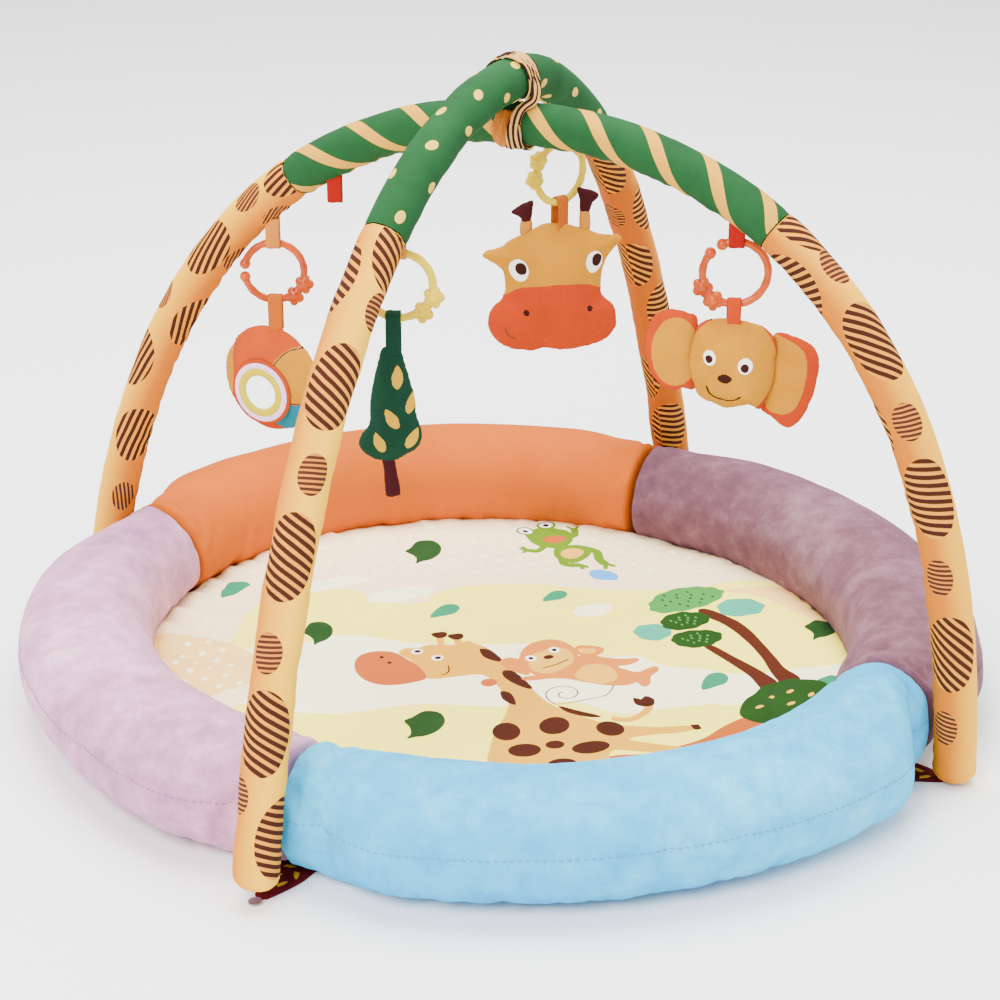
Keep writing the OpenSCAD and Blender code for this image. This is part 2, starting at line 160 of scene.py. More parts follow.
# ---------------------------------------------------------------- materials
class Nodes:
    """A material and short calls that add nodes to it."""

    def __init__(self, name, color, rough=0.85):
        self.m = bpy.data.materials.new(name)
        self.m.use_nodes = True
        self.t = self.m.node_tree
        self.b = self.t.nodes["Principled BSDF"]
        self.b.inputs["Base Color"].default_value = color
        self.b.inputs["Roughness"].default_value = rough

    def add(self, kind, **values):
        n = self.t.nodes.new(kind)
        for k, v in values.items():
            if hasattr(n, k) and k not in n.inputs.keys():
                setattr(n, k, v)
            else:
                n.inputs[k].default_value = v
        return n

    def link(self, a, b):
        self.t.links.new(a, b)

    def math(self, op, a, b=None):
        n = self.t.nodes.new("ShaderNodeMath")
        n.operation = op
        for i, v in enumerate((a, b)):
            if v is None:
                continue
            if isinstance(v, (int, float)):
                n.inputs[i].default_value = v
            else:
                self.link(v, n.inputs[i])
        return n.outputs[0]

    def mix(self, fac, a, b):
        n = self.t.nodes.new("ShaderNodeMix")
        n.data_type = "RGBA"
        for sock, v in ((n.inputs[0], fac), (n.inputs[6], a), (n.inputs[7], b)):
            if isinstance(v, (int, float, tuple)):
                sock.default_value = v
            else:
                self.link(v, sock)
        return n.outputs[2]

    def noise(self, scale, detail=3.0, rough=0.5):
        c = self.t.nodes.new("ShaderNodeTexCoord")
        n = self.add("ShaderNodeTexNoise", Scale=scale, Detail=detail, Roughness=rough)
        self.link(c.outputs["Object"], n.inputs["Vector"])
        return n.outputs["Fac"]

    def ramp(self, fac, lo, hi):
        n = self.t.nodes.new("ShaderNodeMapRange")
        n.inputs["From Min"].default_value = lo
        n.inputs["From Max"].default_value = hi
        self.link(fac, n.inputs["Value"])
        return n.outputs[0]

    def bump(self, height, strength, distance):
        n = self.add("ShaderNodeBump", Strength=strength, Distance=distance)
        self.link(height, n.inputs["Height"])
        self.link(n.outputs[0], self.b.inputs["Normal"])


def velour(name, color, dark, light):
    """Short pile cloth: brushed streaks of dark and light, soft sheen, fine pile."""
    n = Nodes(name, color, 0.95)
    streak = n.ramp(n.noise(42.0, 7.0, 0.66), 0.3, 0.7)
    broad = n.ramp(n.noise(6.5, 3.0, 0.55), 0.32, 0.68)
    fac = n.math("ADD", n.math("MULTIPLY", streak, 0.55), n.math("MULTIPLY", broad, 0.45))
    low = n.mix(n.ramp(fac, 0.1, 0.5), dark, color)
    shade = n.mix(n.ramp(fac, 0.5, 0.95), low, light)
    pile = n.ramp(n.noise(520.0, 2.0, 0.8), 0.35, 0.65)
    grain = n.mix(n.math("MULTIPLY", pile, 0.30), shade, dark)
    n.link(grain, n.b.inputs["Base Color"])
    n.b.inputs["Sheen Weight"].default_value = 0.42
    n.b.inputs["Sheen Roughness"].default_value = 0.40
    n.b.inputs["Sheen Tint"].default_value = light
    n.b.inputs["Specular IOR Level"].default_value = 0.1
    lumps = n.math("MULTIPLY", n.noise(60.0, 4.0, 0.6), 0.6)
    n.bump(n.math("ADD", n.noise(520.0, 3.0, 0.8), lumps), 0.7, 0.0014)
    return n.m


def weave(n, strength=0.35, pitch=1.1):
    """Fine plain weave seen in the bump of a cotton cloth."""
    c = n.t.nodes.new("ShaderNodeTexCoord")
    waves = []
    for axis in ("X", "Z"):
        w = n.add("ShaderNodeTexWave", Scale=1000 / pitch / 6.2832, Distortion=1.2)
        w.bands_direction = axis
        n.link(c.outputs["Object"], w.inputs["Vector"])
        waves.append(w.outputs["Fac"])
    h = n.math("ADD", n.math("MULTIPLY", n.math("ADD", waves[0], waves[1]), 0.35), n.noise(70.0, 4.0, 0.6))
    n.bump(h, strength, 0.0006)


def uneven_dye(n, color, tone):
    """Colour that runs a little darker in soft blotches."""
    dark = tuple(c * (1 - tone * 1.6) for c in color[:3]) + (1.0,)
    return n.mix(n.ramp(n.noise(26.0, 5.0, 0.6), 0.3, 0.7), dark, color)


def uv_parts(n):
    """The two numbers of the piece's own UV map."""
    uv = n.t.nodes.new("ShaderNodeUVMap")
    sep = n.t.nodes.new("ShaderNodeSeparateXYZ")
    n.link(uv.outputs[0], sep.inputs[0])
    return sep.outputs


def cotton(name, color, tone=0.10, rough=0.88, strength=0.3):
    """Printed cotton: faint uneven dye and a plain weave."""
    n = Nodes(name, color, rough)
    n.link(uneven_dye(n, color, tone), n.b.inputs["Base Color"])
    n.b.inputs["Sheen Weight"].default_value = 0.06
    n.b.inputs["Sheen Tint"].default_value = color
    n.b.inputs["Specular IOR Level"].default_value = 0.10
    weave(n, strength)
    return n.m


def striped(name, ground, line, pitch, share, slant=0.6, tone=0.08):
    """Cotton with slanting printed stripes, drawn in the piece's own UV map in metres."""
    n = Nodes(name, ground, 0.88)
    u, v, _ = uv_parts(n)
    wob = n.math("MULTIPLY", n.math("SUBTRACT", n.noise(30.0, 2.0, 0.5), 0.5), 0.0022)
    along = n.math("ADD", n.math("MULTIPLY", u, math.cos(slant)), n.math("MULTIPLY", v, math.sin(slant)))
    pos = n.math("ADD", along, wob)
    saw = n.math("FRACT", n.math("DIVIDE", n.math("ADD", pos, 10.0), pitch))
    on = n.math("LESS_THAN", saw, share)
    n.link(n.mix(on, uneven_dye(n, ground, tone), line), n.b.inputs["Base Color"])
    n.b.inputs["Specular IOR Level"].default_value = 0.10
    weave(n)
    return n.m


def sleeve_cloth(name, pale, deep, lit_side_at):
    """Sleeve cotton with painted light and shade: pale on the lit side, at an angle round the sleeve,
    running to deep orange on the shaded side opposite it, with a little uneven dye. The UV map's second
    number is the way round in metres, 0 at the underside."""
    n = Nodes(name, pale, 0.88)
    # painted light and shade: turn is the angle from the lit side; away runs from 0 there to 1 on the shaded
    # side, and the noise added to it is uneven dye
    turn = n.math("SUBTRACT", n.math("MULTIPLY", uv_parts(n)[1], 1 / 0.020), math.radians(lit_side_at))
    away = n.math("SUBTRACT", 0.5, n.math("MULTIPLY", n.math("COSINE", turn), 0.5))
    away = n.math("ADD", away, n.math("MULTIPLY", n.math("SUBTRACT", n.noise(14.0, 4.0, 0.6), 0.5), 0.3))
    n.link(n.mix(n.ramp(away, 0.05, 0.75), pale, deep), n.b.inputs["Base Color"])
    n.b.inputs["Sheen Weight"].default_value = 0.06
    n.b.inputs["Sheen Tint"].default_value = pale
    n.b.inputs["Specular IOR Level"].default_value = 0.10
    weave(n, 0.3)
    return n.m


def plastic(name, color, deep):
    """Glossy moulded plastic with a little light passing under its skin."""
    n = Nodes(name, color, 0.2)
    n.link(n.mix(n.ramp(n.noise(45.0, 2.0, 0.5), 0.35, 0.65), deep, color), n.b.inputs["Base Color"])
    n.b.inputs["IOR"].default_value = 1.42
    n.b.inputs["Specular IOR Level"].default_value = 0.28
    n.b.inputs["Subsurface Weight"].default_value = 0.06
    n.b.inputs["Subsurface Radius"].default_value = (0.012, 0.006, 0.001)
    n.b.inputs["Subsurface Scale"].default_value = 0.5
    n.bump(n.noise(160.0, 2.0, 0.5), 0.12, 0.0008)
    return n.m


def thread(name, color):
    """Twisted sewing thread."""
    n = Nodes(name, color, 0.7)
    n.bump(n.noise(900.0, 2.0, 0.5), 0.3, 0.0004)
    return n.m


def hard(name, color, deep, rough, metal, grain):
    """Glass fibre, steel or rubber: streaks in the colour and a little wear in the gloss."""
    n = Nodes(name, color, rough)
    streak = n.noise(grain, 4.0, 0.6)
    n.link(n.mix(n.ramp(streak, 0.3, 0.7), deep, color), n.b.inputs["Base Color"])
    gloss = n.math("ADD", rough - 0.08, n.math("MULTIPLY", n.noise(60.0, 3.0, 0.5), 0.16))
    n.link(gloss, n.b.inputs["Roughness"])
    n.b.inputs["Metallic"].default_value = metal
    n.bump(streak, 0.2, 0.0003)
    return n.m


BROWN, BROWN_SOFT = lin("381A10"), lin("42241A")
SPOT_GROUND, SMALL_GROUND = lin("D68A22"), lin("C87824")
# printed and plain cottons: name, colour, how uneven the dye is, and for one a smoother face
COTTONS = {
    "orange": ("smooth_orange", "BA5806", 0.06, 0.8, 0.15), "tie_peach": ("tie_peach", "C4742A", 0.10),
    "green": ("crown_green", "1C4C28", 0.16), "seed": ("seed_print", "D4B24A", 0.05),
    "band": ("band_print", "CA9430", 0.06), "red": ("red_tape", "900E06", 0.06),
    "gold": ("gold_cotton", "BE7E08", 0.12), "salmon": ("salmon_cotton", "B0360A", 0.10),
    "salmon_lt": ("salmon_light", "B44412", 0.08), "rim": ("mirror_rim", "A83A0C", 0.06),
    "lilac_print": ("lilac_ring", "EBC0E8", 0.04), "yellow_print": ("yellow_ring", "C4B404", 0.05),
    "turquoise": ("turquoise", "10708F", 0.08), "white": ("white_print", "FCFAF4", 0.02),
    "pupil": ("pupil", "30120C", 0.05), "maroon": ("maroon_cotton", "3A1014", 0.10),
    "horn_stalk": ("horn_stalk", "BE7A2C", 0.05), "tree_green": ("tree_green", "113826", 0.14),
    "leaf_yellow": ("leaf_yellow", "CA9C22", 0.08), "tan_tape": ("tan_tape", "AE5612", 0.06),
    "strap": ("strap_cloth", "560C12", 0.10), "mat_cream": ("mat_cream", "FCEE5E", 0.02),
    "mat_white": ("mat_white", "FDF8CC", 0.01), "mat_pink": ("mat_pink", "FCE3B4", 0.03),
    "mat_peach": ("mat_peach", "F6C878", 0.03), "p_giraffe": ("print_giraffe", "D69A22", 0.03),
    "p_brown": ("print_brown", "3E190C", 0.08), "p_muzzle": ("print_muzzle", "B25620", 0.03),
    "p_monkey": ("print_monkey", "CC762C", 0.03), "p_belly": ("print_belly", "E0A83C", 0.03),
    "p_frog": ("print_frog", "5E8008", 0.05), "p_patch": ("print_patch", "4A98E0", 0.04),
    "p_trunk": ("print_trunk", "4A1E0E", 0.08), "p_bush": ("print_bush", "1F4212", 0.14),
    "p_canopy": ("print_canopy", "42883C", 0.05), "p_aqua": ("print_aqua", "3C9C80", 0.05),
    "p_heart": ("print_heart", "20401A", 0.16), "p_leaf": ("print_leaf", "24805A", 0.08),
    "p_path": ("print_path", "AE561C", 0.04),
}
THREADS = {
    "black": ("black_line", "1A1512"), "stitch_lilac": ("stitch_lilac", "8E7088"),
    "stitch_blue": ("stitch_blue", "3C86BE"), "stitch_mauve": ("stitch_mauve", "4A3746"),
    "stitch_orange": ("stitch_orange", "A04A14"),
}
M = {key: cotton(name, lin(code), *feel) for key, (name, code, *feel) in COTTONS.items()}
M.update({key: thread(name, lin(code)) for key, (name, code) in THREADS.items()})
M.update({
    "pole": hard("glass_fibre_pole", lin("B9BDB4"), lin("9EA39A"), 0.42, 0.0, 240.0),
    "steel": hard("steel_ferrule", lin("A8A9AB"), lin("8B8C8E"), 0.30, 1.0, 420.0),
    "rubber": hard("rubber_tip", lin("26262A"), lin("1B1B1E"), 0.70, 0.0, 180.0),
    "blue": velour("velour_blue", lin("2CAEE2"), lin("1C97D2"), lin("5ECAEE")),
    "lilac": velour("velour_lilac", lin("C28CAC"), lin("9A6E8F"), lin("E8B8D0")),
    "mauve": velour("velour_mauve", lin("6E4A57"), lin("523641"), lin("8E6B77")),
    # painted light and shade per leg: each sleeve's pale tone, deep tone and lit-side angle follow how light
    # falls on that leg
    "sleeve_uf": sleeve_cloth("sleeve_upper_front", lin("F0B41C"), lin("C8780C"), 95),
    "sleeve_ub": sleeve_cloth("sleeve_upper_back", lin("D68C12"), lin("B05808"), 180),
    "sleeve_lr": sleeve_cloth("sleeve_lower_right", lin("EEB01E"), lin("BE6A0A"), 150),
    "sleeve_ll": sleeve_cloth("sleeve_lower_left", lin("EEAE1A"), lin("C06C0A"), 165),
    "tie_stripe": striped("tie_stripe", lin("D2A05C"), lin("2A140C"), 0.0046, 0.50, 1.46),
    "clip_orange": plastic("clip_orange", lin("BC4A02"), lin("A03802")),
    "clip_yellow": plastic("clip_yellow", lin("D4B800"), lin("C2A000")),
})
# giraffe spots, each with its own slant of stripes
for key, share, slant in (("spot_a", 0.56, -0.45), ("spot_b", 0.56, -0.80), ("spot_c", 0.56, -0.28),
                          ("spot_d", 0.54, -1.36), ("spot_e", 0.54, -1.72)):
    M[key] = striped(key, SPOT_GROUND, BROWN, 0.0070, share, slant)
for key, slant in (("small_a", 0.12), ("small_b", -0.16), ("small_d", -1.3)):
    M[key] = striped(key, SMALL_GROUND, BROWN_SOFT, 0.0042, 0.56, slant)


# ---------------------------------------------------------------- meshes
def make(name, verts, faces, mats, labels=None, uv=None):
    """New piece from points in mm. labels gives each face's place in mats; uv is per point, in mm."""
    me = bpy.data.meshes.new(name)
    me.from_pydata((np.asarray(verts, float) * MM).tolist(), [], [tuple(map(int, f)) for f in faces])
    for m in mats:
        me.materials.append(M[m])
    if labels is not None:
        me.polygons.foreach_set("material_index", np.asarray(labels, np.int32))
    me.polygons.foreach_set("use_smooth", [True] * len(me.polygons))
    if uv is not None:
        layer = me.uv_layers.new(name="UVMap")
        idx = np.zeros(len(me.loops), np.int32)
        me.loops.foreach_get("vertex_index", idx)
        layer.data.foreach_set("uv", (np.asarray(uv, float)[idx] * MM).ravel())
    me.update()
    ob = bpy.data.objects.new(name, me)
    bpy.context.scene.collection.objects.link(ob)
    return ob


def stand_in(ob, body, *nodes):
    """Lets a piece ride on a body and stand for CAD nodes, which it hides."""
    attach(ob, body)
    if nodes:
        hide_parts(*nodes)
    return ob


def coords(ob):
    co = np.zeros(len(ob.data.vertices) * 3)
    ob.data.vertices.foreach_get("co", co)
    return co.reshape(-1, 3) / MM


def set_coords(ob, co):
    ob.data.vertices.foreach_set("co", (np.asarray(co) * MM).ravel())
    ob.data.update()


def subdivide(ob):
    mod = ob.modifiers.new("smooth", "SUBSURF")
    mod.levels = mod.render_levels = 1


def grid_faces(rows, cols, wrap=True):
    """Four-sided faces over rows of points, joined round when wrap is set."""
    out = []
    for j in range(rows - 1):
        for k in range(cols if wrap else cols - 1):
            a, b = j * cols + k, j * cols + (k + 1) % cols
            out.append((a, b, b + cols, a + cols))
    return out


def end_faces(rows, cols):
    """The two flat ends of a tube made by grid_faces."""
    return [tuple(range(cols))[::-1], tuple((rows - 1) * cols + k for k in range(cols))]


def spline(a, b, c, d, parts):
    """Points from b towards c, on the smooth line through a, b, c and d."""
    out = []
    for t in (j / parts for j in range(parts)):
        out.append(0.5 * (2 * b + (c - a) * t + (2 * a - 5 * b + 4 * c - d) * t * t
                          + (3 * b - a - 3 * c + d) * t ** 3))
    return out


def smooth_loop(points, parts=6):
    """Closed smooth line through given points."""
    p = np.asarray(points, float)
    n = len(p)
    return np.vstack([spline(p[i - 1], p[i], p[(i + 1) % n], p[(i + 2) % n], parts) for i in range(n)])


def open_curve(points, parts=6):
    """Smooth line from the first given point to the last."""
    p = np.asarray(points, float)
    p = np.vstack([2 * p[0] - p[1], p, 2 * p[-1] - p[-2]])
    return np.vstack([spline(*p[i - 1:i + 3], parts) for i in range(1, len(p) - 2)] + [p[-2:-1]])


def place(points, cx, cy, size, turn):
    """A flat outline scaled, turned in degrees and moved to (cx, cy)."""
    c, s = math.cos(math.radians(turn)), math.sin(math.radians(turn))
    p = np.asarray(points, float) * size
    return np.column_stack([cx + p[:, 0] * c - p[:, 1] * s, cy + p[:, 0] * s + p[:, 1] * c])


def turned(points, yaw, origin):
    """Points in space turned round the vertical, then moved to origin."""
    p = np.asarray(points, float)
    return np.column_stack([place(p[:, :2], 0, 0, 1, yaw), p[:, 2]]) + origin


def oval(cx, cy, rx, ry, turn=0.0, n=36):
    a = np.linspace(0, 2 * math.pi, n, endpoint=False)
    return place(np.column_stack([rx * np.cos(a), ry * np.sin(a)]), cx, cy, 1, turn)


def ribbon(points, width):
    """Outline of a thin drawn line of some width."""
    p = np.asarray(points, float)
    d = np.gradient(p, axis=0)
    d /= np.linalg.norm(d, axis=1)[:, None] + 1e-9
    side = np.column_stack([-d[:, 1], d[:, 0]]) * (width / 2)
    return np.vstack([p + side, (p - side)[::-1]])


def drawn(points, width):
    """Smooth thin line through given points."""
    return ribbon(open_curve(points), width)


def resample(loop, step):
    """A closed outline with its points about step apart."""
    p = np.vstack([loop, loop[:1]])
    s = np.r_[0, np.cumsum(np.linalg.norm(np.diff(p, axis=0), axis=1))]
    n = max(8, int(round(s[-1] / step)))
    q = np.linspace(0, s[-1], n, endpoint=False)
    return np.column_stack([np.interp(q, s, p[:, 0]), np.interp(q, s, p[:, 1])])


def inside(points, loop):
    """Which points lie inside a closed outline."""
    x, y = points[:, 0], points[:, 1]
    out = np.zeros(len(points), bool)
    x1, y1 = loop[:, 0], loop[:, 1]
    x2, y2 = np.roll(x1, -1), np.roll(y1, -1)
    for a, b, c, d in zip(x1, y1, x2, y2):
        hit = (b > y) != (d > y)
        if b != d:
            out ^= hit & (x < (c - a) * (y - b) / (d - b) + a)
    return out


def cut_to_box(loop, x0, x1, y0, y1):
    """Part of a closed outline inside an upright box."""
    pts = [tuple(p) for p in loop]
    for axis, limit, keep_above in ((0, x0, True), (0, x1, False), (1, y0, True), (1, y1, False)):
        out = []
        for i, q in enumerate(pts):
            p = pts[i - 1]
            pin = (p[axis] >= limit) == keep_above
            qin = (q[axis] >= limit) == keep_above
            if pin != qin:
                t = (limit - p[axis]) / (q[axis] - p[axis])
                out.append((p[0] + (q[0] - p[0]) * t, p[1] + (q[1] - p[1]) * t))
            if qin:
                out.append(q)
        pts = out
        if len(pts) < 3:
            return None
    return np.array(pts)


def open_edges(triangles):
    """The edges that only one triangle has, in that triangle's direction."""
    found = {}
    for t in triangles:
        for a, b in ((t[0], t[1]), (t[1], t[2]), (t[2], t[0])):
            found.setdefault((min(a, b), max(a, b)), []).append((a, b))
    return [pair[0] for pair in found.values() if len(pair) == 1]


def slab_faces(triangles, labels, n, base=0):
    """Faces and labels of a closed slab: a labelled face, a plain back n points on, and its edge."""
    faces = [tuple(t + base) for t in triangles] + [tuple(t[::-1] + base + n) for t in triangles]
    rim = [(b + base, a + base, a + base + n, b + base + n) for a, b in open_edges(triangles)]
    return faces + rim, list(labels) + [0] * (len(triangles) + len(rim))


def patchwork(outline, shapes, step, fine):
    """Triangles that fill outline, cut along every shape. Later shapes lie on earlier ones.
    Returns points, triangles and a label per triangle (0 where no shape lies)."""
    loops = [np.asarray(outline, float)] + [resample(np.asarray(s[1], float), fine) for s in shapes]
    pts, edges = [], []
    for lp in loops:
        base = len(pts)
        pts += [tuple(q) for q in lp]
        edges += [(base + i, base + (i + 1) % len(lp)) for i in range(len(lp))]
    fixed = np.array(pts)
    lo, hi = loops[0].min(0), loops[0].max(0)
    rows = []
    y, odd = lo[1] + step * 0.4, 0
    while y < hi[1]:
        xs = np.arange(lo[0] + (0.25 + 0.5 * odd) * step, hi[0], step)
        rows.append(np.column_stack([xs, np.full(len(xs), y)]))
        y += step * 0.866
        odd = 1 - odd
    grid = np.vstack(rows)
    grid = grid[inside(grid, loops[0])]
    keep = np.ones(len(grid), bool)
    for i in range(0, len(grid), 400):
        d = np.linalg.norm(grid[i:i + 400, None] - fixed[None], axis=2).min(1)
        keep[i:i + 400] = d > fine * 0.62
    pts += [tuple(q) for q in grid[keep]]
    vs, _, tris, _, _, _ = delaunay_2d_cdt([Vector(p) for p in pts], edges, [], 0, 1e-5)
    P = np.array([[v.x, v.y] for v in vs])
    T = np.array([t for t in tris if len(t) == 3])
    mid = P[T].mean(1)
    ok = inside(mid, loops[0])
    T, mid = T[ok], mid[ok]
    lab = np.zeros(len(T), int)
    for (label, _), lp in zip(shapes, loops[1:]):
        lab[inside(mid, lp)] = label
    used = np.unique(T)
    back = -np.ones(len(P), int)
    back[used] = np.arange(len(used))
    return P[used], back[T], lab


def inflate(ob, scale, pressure, frames, pins, stiff, bend, shrink, cap):
    """Fills a closed cloth shell: a short pressure simulation without gravity, whose shape is
    kept. scale enlarges the piece meanwhile, and no point moves further than cap, in mm."""
    start = coords(ob)
    set_coords(ob, start * scale)
    if pins is not None:
        g = ob.vertex_groups.new(name="pin")
        for i in np.nonzero(pins > 0)[0]:
            g.add([int(i)], float(pins[i]), "REPLACE")
    mod = ob.modifiers.new("cloth", "CLOTH")
    s = mod.settings
    s.quality = 6
    s.mass = 0.3
    s.tension_stiffness = s.compression_stiffness = stiff
    s.shear_stiffness = stiff / 3
    s.bending_stiffness = bend
    s.use_pressure = True
    s.uniform_pressure_force = pressure
    s.shrink_min = shrink
    s.air_damping = 4.0
    s.effector_weights.gravity = 0.0
    if pins is not None:
        s.vertex_group_mass = "pin"
    mod.collision_settings.use_collision = False
    mod.collision_settings.use_self_collision = False
    mod.point_cache.frame_start, mod.point_cache.frame_end = 1, frames
    scene = bpy.context.scene
    for f in range(1, frames + 1):
        scene.frame_set(f)
    ev = ob.evaluated_get(bpy.context.evaluated_depsgraph_get())
    co = np.zeros(len(ob.data.vertices) * 3)
    ev.data.vertices.foreach_get("co", co)
    co = co.reshape(-1, 3) / MM / scale
    ob.modifiers.remove(mod)
    scene.frame_set(1)
    move = co - start
    size = np.linalg.norm(move, axis=1)
    move *= (np.minimum(size, cap) / np.maximum(size, 1e-9))[:, None]
    set_coords(ob, start + move)


# ---------------------------------------------------------------- camera, floor and light
def studio():
    """Camera at the photograph's angle, pale floor and three soft lights."""
    scene = bpy.context.scene
    az, el, dist = math.radians(-18.6), math.radians(23.55), 2.3
    back = Vector((math.sin(az) * math.cos(el), -math.cos(az) * math.cos(el), math.sin(el)))
    cam = bpy.data.cameras.new("camera")
    cam.lens, cam.sensor_width = 90.58, 36.0
    cam.clip_start, cam.clip_end = 0.05, 50
    ob = bpy.data.objects.new("camera", cam)
    ob.location = Vector((-0.0179, -0.0601, 0.2149)) + back * dist
    ob.rotation_mode = "QUATERNION"
    ob.rotation_quaternion = (-back).to_track_quat("-Z", "Y")
    scene.collection.objects.link(ob)
    scene.camera = ob

    w = 6000
    floor = make("floor", [(-w, -w, 0), (w, -w, 0), (w, w, 0), (-w, w, 0)], [(0, 1, 2, 3)], [])
    n = Nodes("floor_white", (0.93, 0.93, 0.93, 1), 0.9)
    n.b.inputs["Specular IOR Level"].default_value = 0.1
    floor.data.materials.append(n.m)

    world = bpy.data.worlds.new("studio")
    scene.world = world
    world.use_nodes = True
    sky = world.node_tree.nodes["Background"]
    sky.inputs["Color"].default_value = (1.0, 0.99, 0.975, 1)
    sky.inputs["Strength"].default_value = 1.35
    for name, loc, size, watts, tint in (
            ("key", (-1.9, -2.0, 2.4), 1.5, 200, (1, 0.97, 0.93)),
            ("fill", (2.4, -1.4, 1.6), 2.2, 34, (0.94, 0.97, 1)),
            ("top", (0.2, 0.6, 2.9), 2.4, 250, (1, 1, 1))):
        light = bpy.data.lights.new(name, "AREA")
        light.size, light.energy, light.color = size, watts, tint
        lo = bpy.data.objects.new(name, light)
        lo.location = loc
        lo.rotation_mode = "QUATERNION"
        lo.rotation_quaternion = (Vector((0, 0, 0.2)) - Vector(loc)).to_track_quat("-Z", "Y")
        scene.collection.objects.link(lo)


# ---------------------------------------------------------------- bolster ring
STEPS, SECTIONS = 104, 56               # points along a quarter, and round its section
SECTION_POWER = 2.2                     # 2 would be an ellipse
SEAM = math.radians(10)                 # the outer seam, measured round the section
MAT_SEAM = 1.17 * math.pi               # where the mat is sewn on
MM_PER_DEGREE = 6.6                     # along the ring
MM_PER_RADIAN = 56                      # round the section


def bolster_point(angle, u):
    """Point on the bolster's skin: angle round the ring, u round its section."""
    c, s = math.cos(u), math.sin(u)
    pc = math.copysign(abs(c) ** (2 / SECTION_POWER), c)
    ps = math.copysign(abs(s) ** (2 / SECTION_POWER), s)
    r = ring_outer(angle) - BOLSTER_A + pc * (BOLSTER_A - (nest(angle) if c > 0 else 0))
    h = heading(angle)
    return np.array([h[0] * r, h[1] * r, BOLSTER_Z + BOLSTER_B * ps])


def from_seam(u, seam):
    """Distance round the section from a seam, in radians and with its sign."""
    return (u - seam + math.pi) % (2 * math.pi) - math.pi


def fill_bolster(ob, mid, u, edge):
    """Inflates a quarter, held at its ends, underneath and at the mat's seam. It keeps its true
    section: only the unevenness of the filled cloth stays."""
    start = coords(ob)
    n = len(mid)
    held = (edge < 4) | (np.abs(u - 1.5 * math.pi) < 0.5) | (np.abs(u - MAT_SEAM) < 0.08)
    pins = np.ones(len(start))
    pins[:n] = held
    inflate(ob, 5.0, 2.4, 16, pins, 9.0, 0.35, -0.045, 6.0)
    moved = coords(ob)
    norm = unit(start[:n] - mid)
    out = ((moved - start)[:n] * norm).sum(1).reshape(STEPS, SECTIONS)
    even = out[8:STEPS - 8].mean(0)[None, :] * np.clip(edge.reshape(STEPS, SECTIONS) / 30.0, 0, 1)
    moved[:n] -= norm * even.ravel()[:, None]
    set_coords(ob, moved)


def bolster(name, start, mat, stitch, seed):
    """One sewn quarter of the ring, from an angle in degrees, with its seams and stitches."""
    angles = start + 0.25 + np.linspace(0, 89.5, STEPS)
    us = np.linspace(0, 2 * math.pi, SECTIONS, endpoint=False)
    verts = np.array([bolster_point(a, u) for a in angles for u in us])
    ang, u = np.repeat(angles, SECTIONS), np.tile(us, STEPS)
    edge = np.minimum(ang - angles[0], angles[-1] - ang) * MM_PER_DEGREE
    h = np.column_stack([np.cos(np.radians(ang)), np.sin(np.radians(ang))])
    mid = np.column_stack([h * (np.array([ring_outer(a) for a in ang]) - BOLSTER_A)[:, None],
                           np.full(len(ang), BOLSTER_Z)])
    n = len(verts)
    faces = [f[::-1] for f in grid_faces(STEPS, SECTIONS)]
    faces += [(k, (k + 1) % SECTIONS, n) for k in range(SECTIONS)]
    last = (STEPS - 1) * SECTIONS
    faces += [(last + (k + 1) % SECTIONS, last + k, n + 1) for k in range(SECTIONS)]
    ob = make(name, np.vstack([verts, mid[:1], mid[-1:]]), faces, [mat])
    fill_bolster(ob, mid, u, edge)
    co = coords(ob)
    p = co[:n]
    norm = unit(p - mid)
    d = 1.1 * bumps(p, 120, seed, 2)
    # crease at both sewn ends, with gathers running out of it
    d -= 3.2 * np.exp(-(edge / 5.0) ** 1.2)
    d += 0.55 * np.exp(-edge / 30.0) * np.sin(u * 13 + bumps(p, 70, seed + 1) * 2.5)
    # outer seam
    arc = from_seam(u, SEAM) * MM_PER_RADIAN
    d -= 2.2 * np.exp(-(arc / 3.4) ** 2)
    d += 0.7 * np.exp(-(arc / 15.0) ** 2) * bumps(np.column_stack([ang * 7, arc]), 16, seed + 2, 1)
    # inner seam where the mat is sewn on: small puckers
    dv = from_seam(u, MAT_SEAM)
    pucker = bumps(np.column_stack([ang * 7, dv * 20]), 24, seed + 3, 1)
    d += 1.5 * np.exp(-(dv * MM_PER_RADIAN / 20.0) ** 2) * pucker
    low = p[:, 2] < 4
    d[low] = np.minimum(d[low], 0)
    co[:n] = p + norm * d[:, None]
    co[:, 2] = np.maximum(co[:, 2], 1.6)
    set_coords(ob, co)
    subdivide(ob)
    stand_in(ob, "base", name, "bolster_filling")

    skin = coords(ob)[:n].reshape(STEPS, SECTIONS, 3)
    place_in_row = SEAM / (2 * math.pi) * SECTIONS
    k, w = int(place_in_row), place_in_row - int(place_in_row)
    line = skin[:, k] * (1 - w) + skin[:, (k + 1) % SECTIONS] * w
    stitches(name + "_stitches", line, unit(line - mid[::SECTIONS]), stitch)


